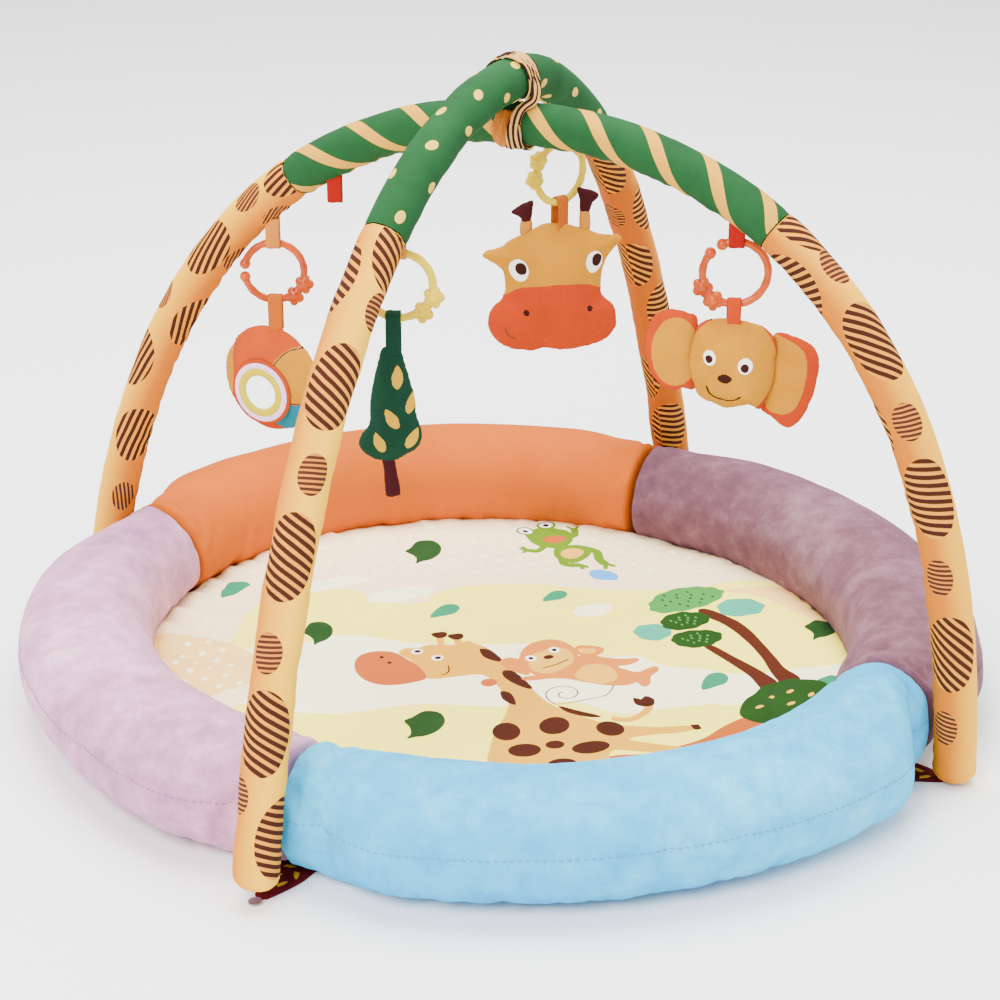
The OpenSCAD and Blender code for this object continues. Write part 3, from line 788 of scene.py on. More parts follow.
def stitches(name, line, out, mat):
    """Small raised threads along a line. out points away from the cloth."""
    length, pitch, margin, thick = 4.2, 6.6, 14.0, 0.45
    s = np.r_[0, np.cumsum(np.linalg.norm(np.diff(line, axis=0), axis=1))]
    verts, faces = [], []
    pos = margin
    while pos < s[-1] - margin:
        a, b = (np.array([np.interp(q, s, line[:, i]) for i in range(3)]) for q in (pos, pos + length))
        up = np.array([np.interp(pos, s, out[:, i]) for i in range(3)])
        t = b - a
        t /= np.linalg.norm(t)
        side = np.cross(t, up)
        base = len(verts)
        for f, lift in ((0.0, -0.3), (0.25, 0.75), (0.75, 0.75), (1.0, -0.3)):
            middle = a * (1 - f) + b * f
            for k in range(6):
                turn = k * math.pi / 3
                verts.append(middle + up * (lift + thick * math.cos(turn)) + side * thick * math.sin(turn))
        faces += [tuple(i + base for i in f) for f in grid_faces(4, 6)]
        pos += pitch
    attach(make(name, verts, faces, [mat]), "base")


# ---------------------------------------------------------------- mat and its print
HEART = smooth_loop([
    (-0.50, 0.55), (-0.05, 0.98), (0.50, 0.85), (0.66, 0.25), (0.40, -0.38), (-0.05, -0.78), (-0.48, -0.90),
    (-0.78, -1.08), (-0.60, -0.62), (-0.62, -0.15), (-0.80, 0.30)], 5)
LEAF = smooth_loop([
    (-1.1, -0.45), (-0.5, 0.3), (0.3, 0.78), (0.95, 0.62), (1.0, 0.05), (0.45, -0.5), (-0.3, -0.55)], 5)


def cloud(cx, cy, rx, ry, lumps, turn=0.0, seed=1):
    """Outline with shallow lumps, for clouds, tree tops and bushes."""
    a = np.linspace(0, 2 * math.pi, lumps * 8, endpoint=False)
    r = 1 + 0.09 * np.abs(np.sin(a * lumps / 2 + seed)) + 0.04 * np.sin(a * 3 + seed)
    return place(np.column_stack([rx * r * np.cos(a), ry * r * np.sin(a)]), cx, cy, 1, turn)


PRINT_MATS = [
    "mat_cream", "mat_white", "mat_pink", "mat_peach", "p_giraffe", "p_brown", "p_muzzle",
    "p_monkey", "p_belly", "p_frog", "p_patch", "p_trunk", "p_bush", "p_canopy", "p_aqua",
    "p_heart", "p_leaf", "p_path", "pupil", "white"]
PRINT = []


def add(mat, loop):
    """Lays a printed shape on the earlier ones, in the mat's own plane in mm."""
    PRINT.append((PRINT_MATS.index(mat), np.asarray(loop, float)))


def blob(mat, points, parts=6):
    add(mat, smooth_loop(points, parts))


def dot(mat, *size):
    add(mat, oval(*size))


def puff(mat, *size):
    add(mat, cloud(*size))


def line(mat, points, width):
    add(mat, drawn(points, width))


def print_ground():
    """Dotted pink field at the back, a wavy white band across, a pink and a peach strip at the left side, and
    a peach strip at the right side that is painted shade beside the bolster.
    """
    blob("mat_pink", [
        (-345, 40), (-262, 52), (-232, 120), (-190, 186), (-145, 192), (-94, 184), (-78, 150), (-36, 132),
        (-10, 152), (58, 148), (115, 124), (151, 102), (199, 84), (246, 76), (300, 78), (345, 60), (345, 345),
        (0, 380), (-345, 345)])
    puff("mat_white", -52, 157, 34, 13, 6, 0, 1)
    puff("mat_white", -120, 205, 46, 12, 6, 0, 2)
    blob("mat_white", [
        (-345, 60), (-268, 66), (-222, 92), (-174, 82), (-141, 91), (-104, 74), (-70, 50), (-15, 26), (60, 0),
        (97, -38), (126, -47), (146, -74), (176, -91), (209, -112), (310, -124), (345, -130), (345, -176),
        (189, -172), (157, -161), (109, -155), (70, -150), (34, -114), (-27, -103), (-62, -88), (-106, -72),
        (-174, -69), (-210, -57), (-259, -24), (-345, -20)])
    blob("mat_pink", [(-345, 84), (-262, 84), (-234, 60), (-236, 20), (-256, -20), (-345, -30)])
    blob("mat_peach", [
        (-345, 150), (-292, 138), (-250, 112), (-222, 70), (-226, 26), (-262, 12), (-300, -8), (-345, 0)])
    # painted shade: the warm peach tint on the mat beside the right bolster
    blob("mat_peach", [(262, 60), (345, 40), (345, -60), (318, -20), (296, 30)])
    for j in range(-3, 17):
        for i in range(-16, 17):
            x = i * 20.0 + (j % 2) * 10.0
            y = 40 + j * 18.0
            wave = 205 - 0.25 * x if x < 60 else 190 - 0.35 * (x - 60)
            if (y > wave - 12 or (x < -240 and y > -10)) and math.hypot(x, y) < 316:
                dot("mat_white", x, y, 3.4, 3.4, 0, 12)
    puff("mat_white", 121, 62, 20, 13, 7, 5, 1)
    # path at the front right
    blob("p_path", [
        (20, -226), (68, -229), (118, -221), (150, -204), (182, -193), (210, -196), (240, -200), (262, -206),
        (232, -252), (120, -300), (10, -290)])


def print_trees():
    blob("p_trunk", [
        (196, -46), (205, -46), (215, -74), (225, -101), (233, -131), (230, -152), (213, -150), (213, -120),
        (207, -90), (199, -60)], 4)
    blob("p_trunk", [
        (222, 28), (233, 23), (246, -4), (253, -39), (253, -82), (252, -112), (256, -140), (236, -148),
        (235, -127), (240, -84), (239, -44), (231, -6), (219, 15)], 4)
    puff("p_aqua", 263, 18, 23, 19, 7, 0, 2)
    puff("p_aqua", 160, -3, 18, 17, 7, 0, 1)
    puff("p_canopy", 218, 54, 41, 23, 11, 14, 3)
    puff("p_bush", 199, 9, 25, 17, 9, 6, 2)
    puff("p_bush", 196, -29, 25, 17, 9, 2, 1)
    for k in range(16):
        a = 2.4 * k
        r = 0.86 * math.sqrt((k + 0.5) / 16)
        c, s = math.cos(a), math.sin(a)
        dot("p_bush", 218 + 37 * r * c, 54 + 20 * r * s, 1.5, 2.4, 0, 8)
        if k < 12:
            dot("p_canopy", 199 + 22 * r * c, 9 + 14 * r * s, 1.3, 2.0, 0, 8)
            dot("p_canopy", 196 + 22 * r * c, -29 + 14 * r * s, 1.3, 2.0, 0, 8)
    puff("p_leaf", 284, -163, 17, 19, 7, 20, 1)
    blob("p_bush", [
        (172, -188), (186, -166), (203, -153), (216, -142), (232, -138), (246, -136), (258, -142),
        (271, -148), (276, -160), (268, -172), (260, -184), (244, -194), (226, -202), (206, -208),
        (188, -212), (176, -202)], 4)
    for x, y, t in ((196, -180, 20), (214, -166, 40), (236, -160, 30), (226, -184, 20), (252, -172, 40)):
        dot("p_belly", x, y, 5.5, 2.4, t, 14)
    for sx, sy in ((205, -172), (222, -156), (244, -150)):
        puff("p_heart", sx, sy, 9, 7, 5, 30, 1)


def print_leaves():
    for x, y, sz, t in ((5, 250, 27, 0), (-150, 101, 22, 8), (-106, -112, 26, -14), (322, -50, 22, -10)):
        add("p_heart", place(HEART, x, y, sz, t))
    for x, y, sz, t in ((-208, 226, 21, 25), (-20, 108, 17, 5), (96, 105, 15, 5), (176, -118, 18, 15)):
        add("p_leaf", place(LEAF, x, y, sz, t))


def print_giraffe():
    line("p_giraffe", [(58, -156), (72, -164), (86, -159), (97, -150), (101, -140)], 8)
    line("p_giraffe", [(-46, 36), (-41, 58)], 7)
    line("p_giraffe", [(-30, 30), (-26, 50)], 7)
    blob("p_giraffe", [
        (-83, 13), (-90, 34), (-80, 42), (-69, 38), (-58, 41), (-50, 38), (-43, 36), (-32, 32), (-19, 37),
        (-13, 27), (-5, 14), (0, -11), (4, -43), (8, -79), (15, -112), (33, -143), (52, -165), (74, -178),
        (95, -188), (122, -194), (125, -201), (104, -203), (80, -198), (58, -198), (75, -213), (106, -233),
        (108, -239), (86, -235), (57, -222), (36, -214), (26, -240), (22, -268), (2, -268), (-6, -236),
        (-44, -232), (-52, -266), (-74, -262), (-80, -226), (-77, -200), (-67, -176), (-52, -146),
        (-32, -117), (-23, -99), (-21, -70), (-25, -42), (-34, -34), (-55, -33), (-81, -28)], 4)
    blob("p_muzzle", [
        (-137, 24), (-128, 39), (-113, 44), (-94, 37), (-84, 14), (-79, -10), (-81, -28), (-94, -31),
        (-109, -30), (-125, -25), (-136, -13), (-140, 5)], 5)
    for hx, hy in ((-40, 58), (-26, 49)):
        blob("p_brown", [(hx - 5, hy - 6), (hx - 8, hy + 6), (hx + 7, hy + 5), (hx + 4, hy - 6)], 4)
    blob("p_brown", [(-13, 16), (-3, 8), (0, -18), (-9, -12), (-15, 0)], 4)
    blob("p_brown", [(-7, -36), (3, -42), (9, -78), (-2, -70), (-10, -50)], 4)
    blob("p_brown", [(-22, -74), (-14, -82), (-17, -104), (-25, -90)], 4)
    blob("p_brown", [(20, -116), (34, -132), (51, -150), (38, -147), (24, -132)], 4)
    for x, y, rx, ry, t in ((4, -151, 17, 14, 60), (-41, -147, 17, 13, 70), (-37, -186, 15, 12.5, -15),
                            (21, -201, 18, 11, 0), (50, -174, 12.5, 14.5, 10), (-8, -186, 9, 8, 0),
                            (-62, -222, 13, 12, 0), (-14, -222, 14, 10, 0)):
        dot("p_brown", x, y, rx, ry, t, 30)
    blob("p_brown", [
        (92, -124), (98, -130), (104, -124), (109, -134), (104, -145), (95, -145), (89, -137)], 4)
    add("p_brown", [(121, -192), (129, -193), (129, -203), (121, -203)])
    add("p_brown", [(104, -231), (113, -235), (115, -243), (104, -240)])
    dot("p_muzzle", -27, -54, 8, 8, 0, 20)
    for ex, ey in ((-72, 31), (-58, 10)):
        dot("white", ex, ey, 6.2, 6.2, 0, 22)
        dot("pupil", ex + 0.5, ey, 3.4, 3.4, 0, 16)
    dot("pupil", -108, 30, 2.1, 2.6, 0, 10)
    dot("pupil", -104, 17, 2.1, 2.6, 0, 10)
    line("p_brown", [(-53, -8), (-55, -18), (-60, -25), (-67, -26)], 1.5)


def print_monkey():
    """Monkey that lies on the giraffe's back."""
    blob("p_monkey", [(2, -12), (-5, -21), (2, -40), (14, -52), (20, -30), (12, -14)], 5)
    blob("p_monkey", [(74, -14), (82, -9), (100, -19), (98, -29), (84, -36), (72, -26)], 5)
    blob("p_belly", [(78, -16), (93, -21), (88, -29), (76, -25)], 4)
    blob("p_monkey", [
        (66, -34), (80, -29), (97, -41), (110, -48), (125, -51), (124, -57), (112, -62), (100, -61),
        (108, -72), (115, -78), (128, -73), (137, -72), (134, -82), (124, -89), (117, -104), (108, -107),
        (107, -97), (95, -99), (77, -93), (60, -82), (46, -70), (30, -64), (8, -62), (6, -54), (28, -54),
        (44, -50)], 4)
    blob("p_belly", [(56, -64), (74, -49), (90, -54), (95, -69), (91, -84), (74, -89), (58, -77)], 5)
    blob("p_monkey", [
        (13, -30), (20, -8), (34, 8), (51, 13), (65, 8), (74, -11), (71, -33), (57, -50), (35, -60),
        (19, -53)], 5)
    blob("p_belly", [
        (20, -34), (30, -14), (42, -10), (56, -6), (67, -16), (66, -34), (54, -47), (36, -54), (23, -48)], 5)
    for ex, ey in ((27, -20), (54, -11)):
        dot("white", ex, ey, 5.6, 6.4, 0, 20)
        dot("pupil", ex, ey, 2.7, 3.2, 0, 12)
    dot("p_brown", 44, -23, 5.6, 4.2, 10, 16)
    line("p_brown", [(30, -42), (44, -40), (62, -33)], 1.6)
    coil = [(34 + (3 + 1.9 * a) * math.cos(a + 1.2), -97 + (3 + 1.9 * a) * math.sin(a + 1.2)) for a in
            np.linspace(0.2, 9.4, 50)]
    add("p_brown", ribbon(open_curve(coil[::3] + [(62, -114), (76, -106), (84, -94)], 4), 1.3))


def print_frog():
    """Frog, and the plain blue patch beside it."""
    for path, w in (([(128, 222), (116, 213), (106, 219)], 8), ([(156, 232), (166, 236), (172, 254)], 8),
                    ([(164, 204), (174, 192), (170, 172), (172, 158)], 10),
                    ([(134, 190), (132, 172), (147, 166)], 9),
                    ([(107, 219), (99, 214)], 4.5), ([(107, 219), (99, 224)], 4.5),
                    ([(107, 219), (103, 229)], 4.5), ([(172, 253), (165, 260)], 4.5),
                    ([(172, 253), (180, 262)], 4.5), ([(172, 160), (180, 150)], 5),
                    ([(172, 160), (168, 148)], 5), ([(147, 167), (153, 158)], 5),
                    ([(147, 167), (146, 156)], 5)):
        line("p_frog", path, w)
    blob("p_frog", [
        (138, 216), (152, 214), (165, 210), (170, 196), (160, 181), (142, 172), (130, 183), (129, 200)], 4)
    blob("p_belly", [(140, 204), (154, 206), (162, 198), (154, 186), (142, 182), (135, 192)], 4)
    blob("p_frog", [
        (118, 262), (132, 270), (145, 268), (157, 258), (165, 243), (156, 219), (137, 211), (121, 222),
        (116, 243)], 4)
    blob("p_muzzle", [(130, 240), (144, 242), (156, 234), (148, 224), (134, 226)], 4)
    for ex, ey in ((121, 266), (147, 274)):
        dot("p_frog", ex, ey, 10.5, 12.0, 0, 24)
        dot("white", ex, ey + 1, 7.6, 8.6, 0, 20)
        dot("pupil", ex - 0.5, ey, 3.2, 4.2, 0, 12)
    blob("p_patch", [(149, 147), (162, 150), (175, 133), (168, 121), (150, 130)], 4)


def mat():
    """The padded mat: a thin closed slab whose face is cut along the printed picture."""
    for part in (print_ground, print_trees, print_leaves, print_giraffe, print_monkey, print_frog):
        part()
    outline = np.array([heading(a) * (ring_outer(a) - 2 * BOLSTER_A + 11) for a in np.arange(0, 360, 2.0)])
    P, T, lab = patchwork(outline, PRINT, 7.5, 4.2)
    r = np.linalg.norm(P, axis=1)
    ang = np.degrees(np.arctan2(P[:, 1], P[:, 0]))
    rim = np.array([ring_outer(a) - 2 * BOLSTER_A + 9 for a in ang]) - r
    z = np.full(len(P), MAT_Z - 1.0)
    z += 1.3 * bumps(P, 170, 2, 2)
    # puckers running in from the sewn edge, deeper at the left
    deep = 1.0 + 3.2 * np.exp(-(((ang - 165 + 180) % 360 - 180) / 40.0) ** 2)
    along = np.radians(ang) * 326
    ridge = bumps(np.column_stack([along, rim * 0.12]), 30, 5, 2)
    z += deep * 1.7 * ridge * np.exp(-(np.abs(rim) / 34.0) ** 1.2)
    z += deep * 1.2 * bumps(P, 55, 6, 2) * np.exp(-(rim / 100.0) ** 2)
    z -= 2.0 * np.exp(-(np.maximum(rim, 0) / 9.0))
    # shallow quilting dimples
    pitch = 120
    off = (P + pitch / 2) % pitch - pitch / 2
    z -= 0.8 * np.exp(-(off ** 2).sum(1) / 160.0)
    z = np.minimum(z, MAT_Z + 7.0)
    n = len(P)
    verts = np.vstack([np.column_stack([P, z]), np.column_stack([P, np.full(n, MAT_Z - 7.0)])])
    faces, labels = slab_faces(T, lab, n)
    ob = make("mat_top_cloth", verts, faces, PRINT_MATS, labels)
    stand_in(ob, "base", "mat_print", "mat_padding")


# ---------------------------------------------------------------- padded arches
def leg_path(leg, t0, t1, n):
    """n points along a leg's centre line."""
    return [leg_point(leg, t) for t in np.linspace(t0, t1, n)]


def arch_side(leg):
    """Level direction across a leg's arch."""
    a = math.radians(LEG_ANGLE[leg])
    return np.array([-math.sin(a), math.cos(a), 0.0])


class Track:
    """Arc-length frames along an arch; angle 0 is the underside."""

    def __init__(self, path, side):
        self.p = np.array(path)
        self.s = np.r_[0, np.cumsum(np.linalg.norm(np.diff(self.p, axis=0), axis=1))]
        self.side = side
        self.length = self.s[-1]
        self.t = unit(np.gradient(self.p, self.s, axis=0))

    def frames(self, u):
        c = np.column_stack([np.interp(u, self.s, self.p[:, i]) for i in range(3)])
        t = unit(np.column_stack([np.interp(u, self.s, self.t[:, i]) for i in range(3)]))
        side = np.tile(self.side, (len(u), 1))
        side = unit(side - t * (side * t).sum(1)[:, None])
        return c, side, np.cross(t, side)


def close_foot(bm, ring):
    """Fan of faces that closes a sleeve's foot."""
    mid = bm.verts.new(sum((v.co for v in ring), Vector()) / len(ring))
    for a, b in zip(ring, ring[1:]):
        bm.faces.new((a, b, mid)).smooth = True


def sleeve(name, track, shapes, mats, body, nodes, seed, foot=False, scallop=1.0):
    """Printed sleeve wound round its padding, with a gathered seam along the underside. Its
    shapes are drawn flat, in mm along the arch and mm round the sleeve."""
    L = track.length
    nu, nv = max(6, int(L / 4.5)), 28
    outline = [(L * i / nu, 0) for i in range(nu)]
    outline += [(L, GIRTH * i / nv) for i in range(nv)]
    outline += [(L * (1 - i / nu), GIRTH) for i in range(nu)]
    outline += [(0, GIRTH * (1 - i / nv)) for i in range(nv)]
    clipped = []
    for label, lp in shapes:
        lp = np.asarray(lp, float)
        for shift in (-GIRTH, 0, GIRTH):
            q = cut_to_box(lp + [0, shift], 0.4, L - 0.4, 0.4, GIRTH - 0.4)
            if q is not None and np.ptp(q[:, 0]) > 0.8 and np.ptp(q[:, 1]) > 0.4:
                clipped.append((label, q))
    P, T, lab = patchwork(np.array(outline), clipped, 5.2, 3.0)
    u, v = P[:, 0], P[:, 1]
    a = v / SLEEVE_R
    c, side, under = track.frames(u)
    seam = np.minimum(v, GIRTH - v)
    q = np.column_stack([u, 20 * np.cos(a), 20 * np.sin(a)])
    R = np.full(len(P), SLEEVE_R - 0.7)
    R += 0.75 * bumps(q, 75, seed, 2)
    R += 0.55 * bumps(q * [1, 0.35, 0.35], 17, seed + 1, 1) * np.exp(-(seam / 26.0) ** 2)
    gather = 1.1 * np.abs(np.sin(u / 5.2 + 1.5 * bumps(q, 60, seed + 2))) - 0.4
    R += scallop * gather * np.exp(-(seam / 5.0) ** 2)
    R += 0.9 * np.exp(-(seam / 3.2) ** 2)
    for end in (0, L):
        if foot and end == 0:
            continue
        d = np.abs(u - end)
        R -= 1.3 * np.exp(-(d / 3.0) ** 2)
        R += 0.5 * np.exp(-(d / 12.0)) * np.sin(a * 19)
    if foot:
        f = np.clip(u / 11.0, 0, 1)
        R = R * np.sqrt(1 - (1 - f) ** 2.6 * 0.55)
        R += 0.5 * np.exp(-(u / 16.0)) * np.sin(a * 17)
    pos = c + under * (R * np.cos(a))[:, None] + side * (R * np.sin(a))[:, None]
    ob = make(name, pos, T, mats, lab, P)
    bm = bmesh.new()
    bm.from_mesh(ob.data)
    if foot:
        close_foot(bm, sorted((v for v in bm.verts if u[v.index] < 0.01), key=lambda v: a[v.index]))
    bmesh.ops.remove_doubles(bm, verts=bm.verts, dist=0.00002)
    bmesh.ops.recalc_face_normals(bm, faces=bm.faces)
    bm.to_mesh(ob.data)
    bm.free()
    stand_in(ob, body, *nodes)


SPOT_MATS = ["base"] + ["spot_" + c for c in "abcde"] + ["small_" + c for c in "abd"] + ["black"]
# each leg's printed spots: mm from the foot, degrees round from the underside, and the slant of the
# stripes, with a capital letter for a large spot
SPOTS = {
    UF: [(428, 142, "A"), (290, 160, "A"), (147, 162, "A"), (552, 92, "A"), (58, 88, "C"), (357, 140, "a"),
         (212, 176, "a"), (498, 88, "a"), (92, 222, "a"), (516, 246, "A"), (215, 340, "A"), (362, 330, "A"),
         (285, 330, "a"), (140, 330, "a"), (435, 330, "a")],
    UB: [(507, 345, "B"), (363, 350, "B"), (429, 248, "C"), (291, 280, "C"), (195, 44, "B"),
         (126, 330, "C"), (438, 10, "b"), (112, 68, "b"), (228, 150, "b"), (215, 150, "B"), (350, 160, "B"),
         (60, 190, "B"), (500, 170, "B"), (140, 170, "b"), (285, 165, "b"), (425, 165, "b")],
    LR: [(531, 168, "B"), (414, 222, "B"), (273, 250, "C"), (129, 262, "B"), (483, 190, "b"),
         (342, 242, "b"), (201, 270, "b"), (57, 286, "b"), (492, 330, "C"), (345, 10, "B"), (205, 50, "B"),
         (342, 92, "B"), (60, 90, "B"), (270, 70, "b"), (420, 60, "b"), (130, 60, "b")],
    LL: [(546, 105, "D"), (423, 106, "D"), (273, 132, "E"), (192, 50, "E"), (492, 124, "d"),
         (348, 148, "d"), (117, 44, "d"), (500, 16, "d"), (428, 5, "d"), (338, 10, "D"), (50, 235, "E"),
         (205, 238, "E"), (360, 238, "E"), (290, 235, "d"), (140, 225, "d"), (470, 245, "D")],
}


def spotted_sleeve(leg, name, base_mat, body, padding):
    """A leg's sleeve with its giraffe spots and the seam's dark line."""
    gen = np.random.default_rng(leg + 3)
    first = 0.006 if leg == UF else 0.0
    skip = np.linalg.norm(leg_point(leg, first) - leg_point(leg, 0))
    track = Track(leg_path(leg, first, GREEN[leg] - 0.001, 90), arch_side(leg))
    small_leg = leg in (LL, UB)
    shapes = []
    for u, turn, kind in SPOTS[leg]:
        v = math.radians(turn) * SLEEVE_R
        if kind.isupper():
            look, rx, ry, n = "spot_" + kind.lower(), 36 - 4 * small_leg, 25 - 3 * small_leg, 44
        else:
            look, rx, ry, n = "small_" + kind, 17, 13.5 - small_leg, 30
        shapes.append((SPOT_MATS.index(look), oval(u - skip, v, rx, ry, gen.uniform(-6, 6), n)))
    end = track.length - 2
    shapes.append((SPOT_MATS.index("black"), [(30, -0.5), (end, -0.5), (end, 0.5), (30, 0.5)]))
    mats = [base_mat] + SPOT_MATS[1:]
    sleeve(name + "_cloth", track, shapes, mats, body, [name, padding], 10 + leg, foot=True)


def scattered_seeds(length):
    """Small ovals in loose rows, for the upper crown."""
    pitch = 37
    gen = np.random.default_rng(5)
    shapes = []
    for i in range(int(length / pitch) + 1):
        for j in range(3):
            u = 14 + i * pitch + gen.uniform(-5, 5)
            v = (j + 0.5 * (i % 2)) * GIRTH / 3 + gen.uniform(-4, 4) + 8
            shapes.append((1, oval(u, v, 6.4, 4.6, gen.uniform(-35, 35), 20)))
    return shapes


def slanted_bands(length):
    """Bands that wind round the lower crown."""
    pitch, wide = 58.0, 15.0
    starts = [i * pitch + 14 for i in range(-1, int(length / pitch) + 4)]
    return [(1, [(u, -1), (u + wide, -1), (u + wide - 2 * pitch, GIRTH + 1), (u - 2 * pitch, GIRTH + 1)])
            for u in starts]


def crown_sleeve(first, arch, prints, mat):
    """Green sleeve over the crown, from one leg's green start to the other's."""
    path = leg_path(first, GREEN[first], 1, 50) + leg_path(first + 1, GREEN[first + 1], 1, 50)[::-1][1:]
    track = Track(path, arch_side(first))
    end = track.length - 2
    shapes = prints(track.length) + [(1, [(2, -2.2), (end, -2.2), (end, 2.2), (2, 2.2)])]
    name = arch + "_sleeve_crown"
    sleeve(name + "_cloth", track, shapes, ["green", mat], arch + "_arch", [name], 20 + first, scallop=1.5)


def arches():
    for leg, side, mat in ((UF, "front", "sleeve_uf"), (UB, "back", "sleeve_ub"),
                           (LR, "right", "sleeve_lr"), (LL, "left", "sleeve_ll")):
        arch = "upper" if leg in (UF, UB) else "lower"
        spotted_sleeve(leg, arch + "_sleeve_" + side, mat, arch + "_arch", arch + "_padding")
    crown_sleeve(UF, "upper", scattered_seeds, "seed")
    crown_sleeve(LR, "lower", slanted_bands, "band")


def tie_band(centre, along, side, flip, width):
    """Gathered band round a sleeve, open at one side: points, uv and faces of a closed layer."""
    na, nw = 90, 26
    verts, uv = [], []
    for outer in (True, False):
        for w in ((j / (nw - 1) - 0.5) * width for j in range(nw)):
            for i in range(na):
                a = math.radians(48 + 264 * i / (na - 1))
                fold = 1.15 * math.sin(w * 1.35 + 0.9 * math.sin(a * 3)) + 0.5 * math.sin(w * 3.1 + a * 5)
                pinch = 1 - 0.25 * math.exp(-((abs(a - math.pi) - 2.1) / 0.4) ** 2)
                r = SLEEVE_R + 1.1 + (fold + 1.2 if outer else 0)
                up = np.array([0, 0, 1.0]) * flip * r * math.cos(a)
                verts.append(centre + along * w * pinch + side * r * math.sin(a) - up)
                uv.append((r * a, w))
    sheet = grid_faces(nw, na, wrap=False)
    off = nw * na
    faces = sheet + [tuple(i + off for i in f[::-1]) for f in sheet]
    for a, b in zip(range(0, off - na, na), range(na, off, na)):
        faces.append((a, b, b + off, a + off))
        faces.append((a + na - 1, b + na - 1, b + na - 1 + off, a + na - 1 + off)[::-1])
    top = (nw - 1) * na
    for i in range(na - 1):
        faces.append((i + 1, i, i + off, i + 1 + off))
        faces.append((top + i, top + i + 1, top + i + 1 + off, top + i + off))
    return verts, uv, faces


def tie_tail():
    """The tie's tail: down the upper arch, through the crossing and over the lower arch."""
    right, front = np.append(heading(-45), 0), np.append(heading(-135), 0)
    low = np.array([CROWN[0], CROWN[1], 0])
    # mm to the right of the crossing, mm in front of it, height
    stops = [(20.0, 9, 594), (23.4, 9, 584), (22.4, 12, 573), (16.0, 17, 568),
             (12.0, 20.5, 563), (9.0, 23.6, 552), (8.0, 23.6, 541), (8.0, 20.0, 530)]
    line = np.array([low + right * x + front * y + [0, 0, z] for x, y, z in open_curve(stops, 6)])
    tan = unit(np.gradient(line, axis=0))
    out = line - np.array([[CROWN[0], CROWN[1], 0.5 * (UPPER_H + LOWER_H)]])
    out = unit(out - tan * (out * tan).sum(1)[:, None])
    across_it = np.cross(tan, out)
    rows, cols = len(line), 32
    verts, uv = [], []
    for k in range(rows):
        f = k / (rows - 1)
        half = 4.2 + 3.4 * abs(2 * f - 0.9) ** 1.5
        for b in (2 * math.pi * c / cols for c in range(cols)):
            fold = 1 + 0.35 * math.sin(5 * b + 2.0 * math.sin(f * 7))
            verts.append(line[k] + across_it[k] * half * math.cos(b) + out[k] * 1.9 * math.sin(b) * fold)
            uv.append((f * 0.07 / MM, half * math.cos(b)))
    return verts, uv, grid_faces(rows, cols) + end_faces(rows, cols)


def tie(arch, leg, height, shift, mat, flip, width, striped_from, tail):
    """Cloth tie at the crossing: a gathered band round one sleeve, striped from some way across it."""
    centre = np.array([CROWN[0], CROWN[1], height])
    along = np.append(heading(LEG_ANGLE[leg]), 0)
    verts, uv, faces = tie_band(centre + along * shift, along, arch_side(leg), flip, width)
    labels = [1 if np.mean([uv[i][1] for i in f]) > striped_from else 0 for f in faces]
    if tail:
        more, more_uv, more_faces = tie_tail()
        faces += [tuple(i + len(verts) for i in f) for f in more_faces]
        verts += more
        uv += more_uv
        labels += [1] * len(more_faces)
    node = arch + "_tie"
    ob = make(node + "_cloth", verts, faces, [mat, "tie_stripe"], labels, uv)
    stand_in(ob, arch + "_arch", node)


# ---------------------------------------------------------------- hanging hardware
def tape_loop(name, hinge, height, yaw, width, mat, body, node, up=True):
    """Folded tape round a rod at the hinge. Its tails run to height, up or down; a thin closed band."""
    r, tail, bend, thick = 5.4, 10, 16, 0.55
    path = [(-r, height * (1 - i / tail)) for i in range(tail + 1)]
    for a in (math.pi + math.pi * i / bend for i in range(1, bend + 1)):
        path.append((r * math.cos(a), r * math.sin(a)))
    path += [(r, height * i / tail) for i in range(1, tail + 1)]
    path = np.array(path)
    d = unit(np.gradient(path, axis=0))
    rings = []
    for (y, z), (dy, dz) in zip(path, d):
        ring = []
        for face in (1, -1):
            for w in np.linspace(-0.5, 0.5, 7)[::face]:
                e = face * thick * (1 - 0.5 * (abs(w) > 0.45))
                rise = z - dy * e + 0.25 * math.sin(w * 9)
                ring.append((w * width, y + dz * e, rise if up else -rise))
        rings.append(turned(ring, yaw, hinge))
    rows, cols = len(rings), len(rings[0])
    ob = make(name, np.vstack(rings), grid_faces(rows, cols) + end_faces(rows, cols), [mat])
    stand_in(ob, body, *([node] if node else []))


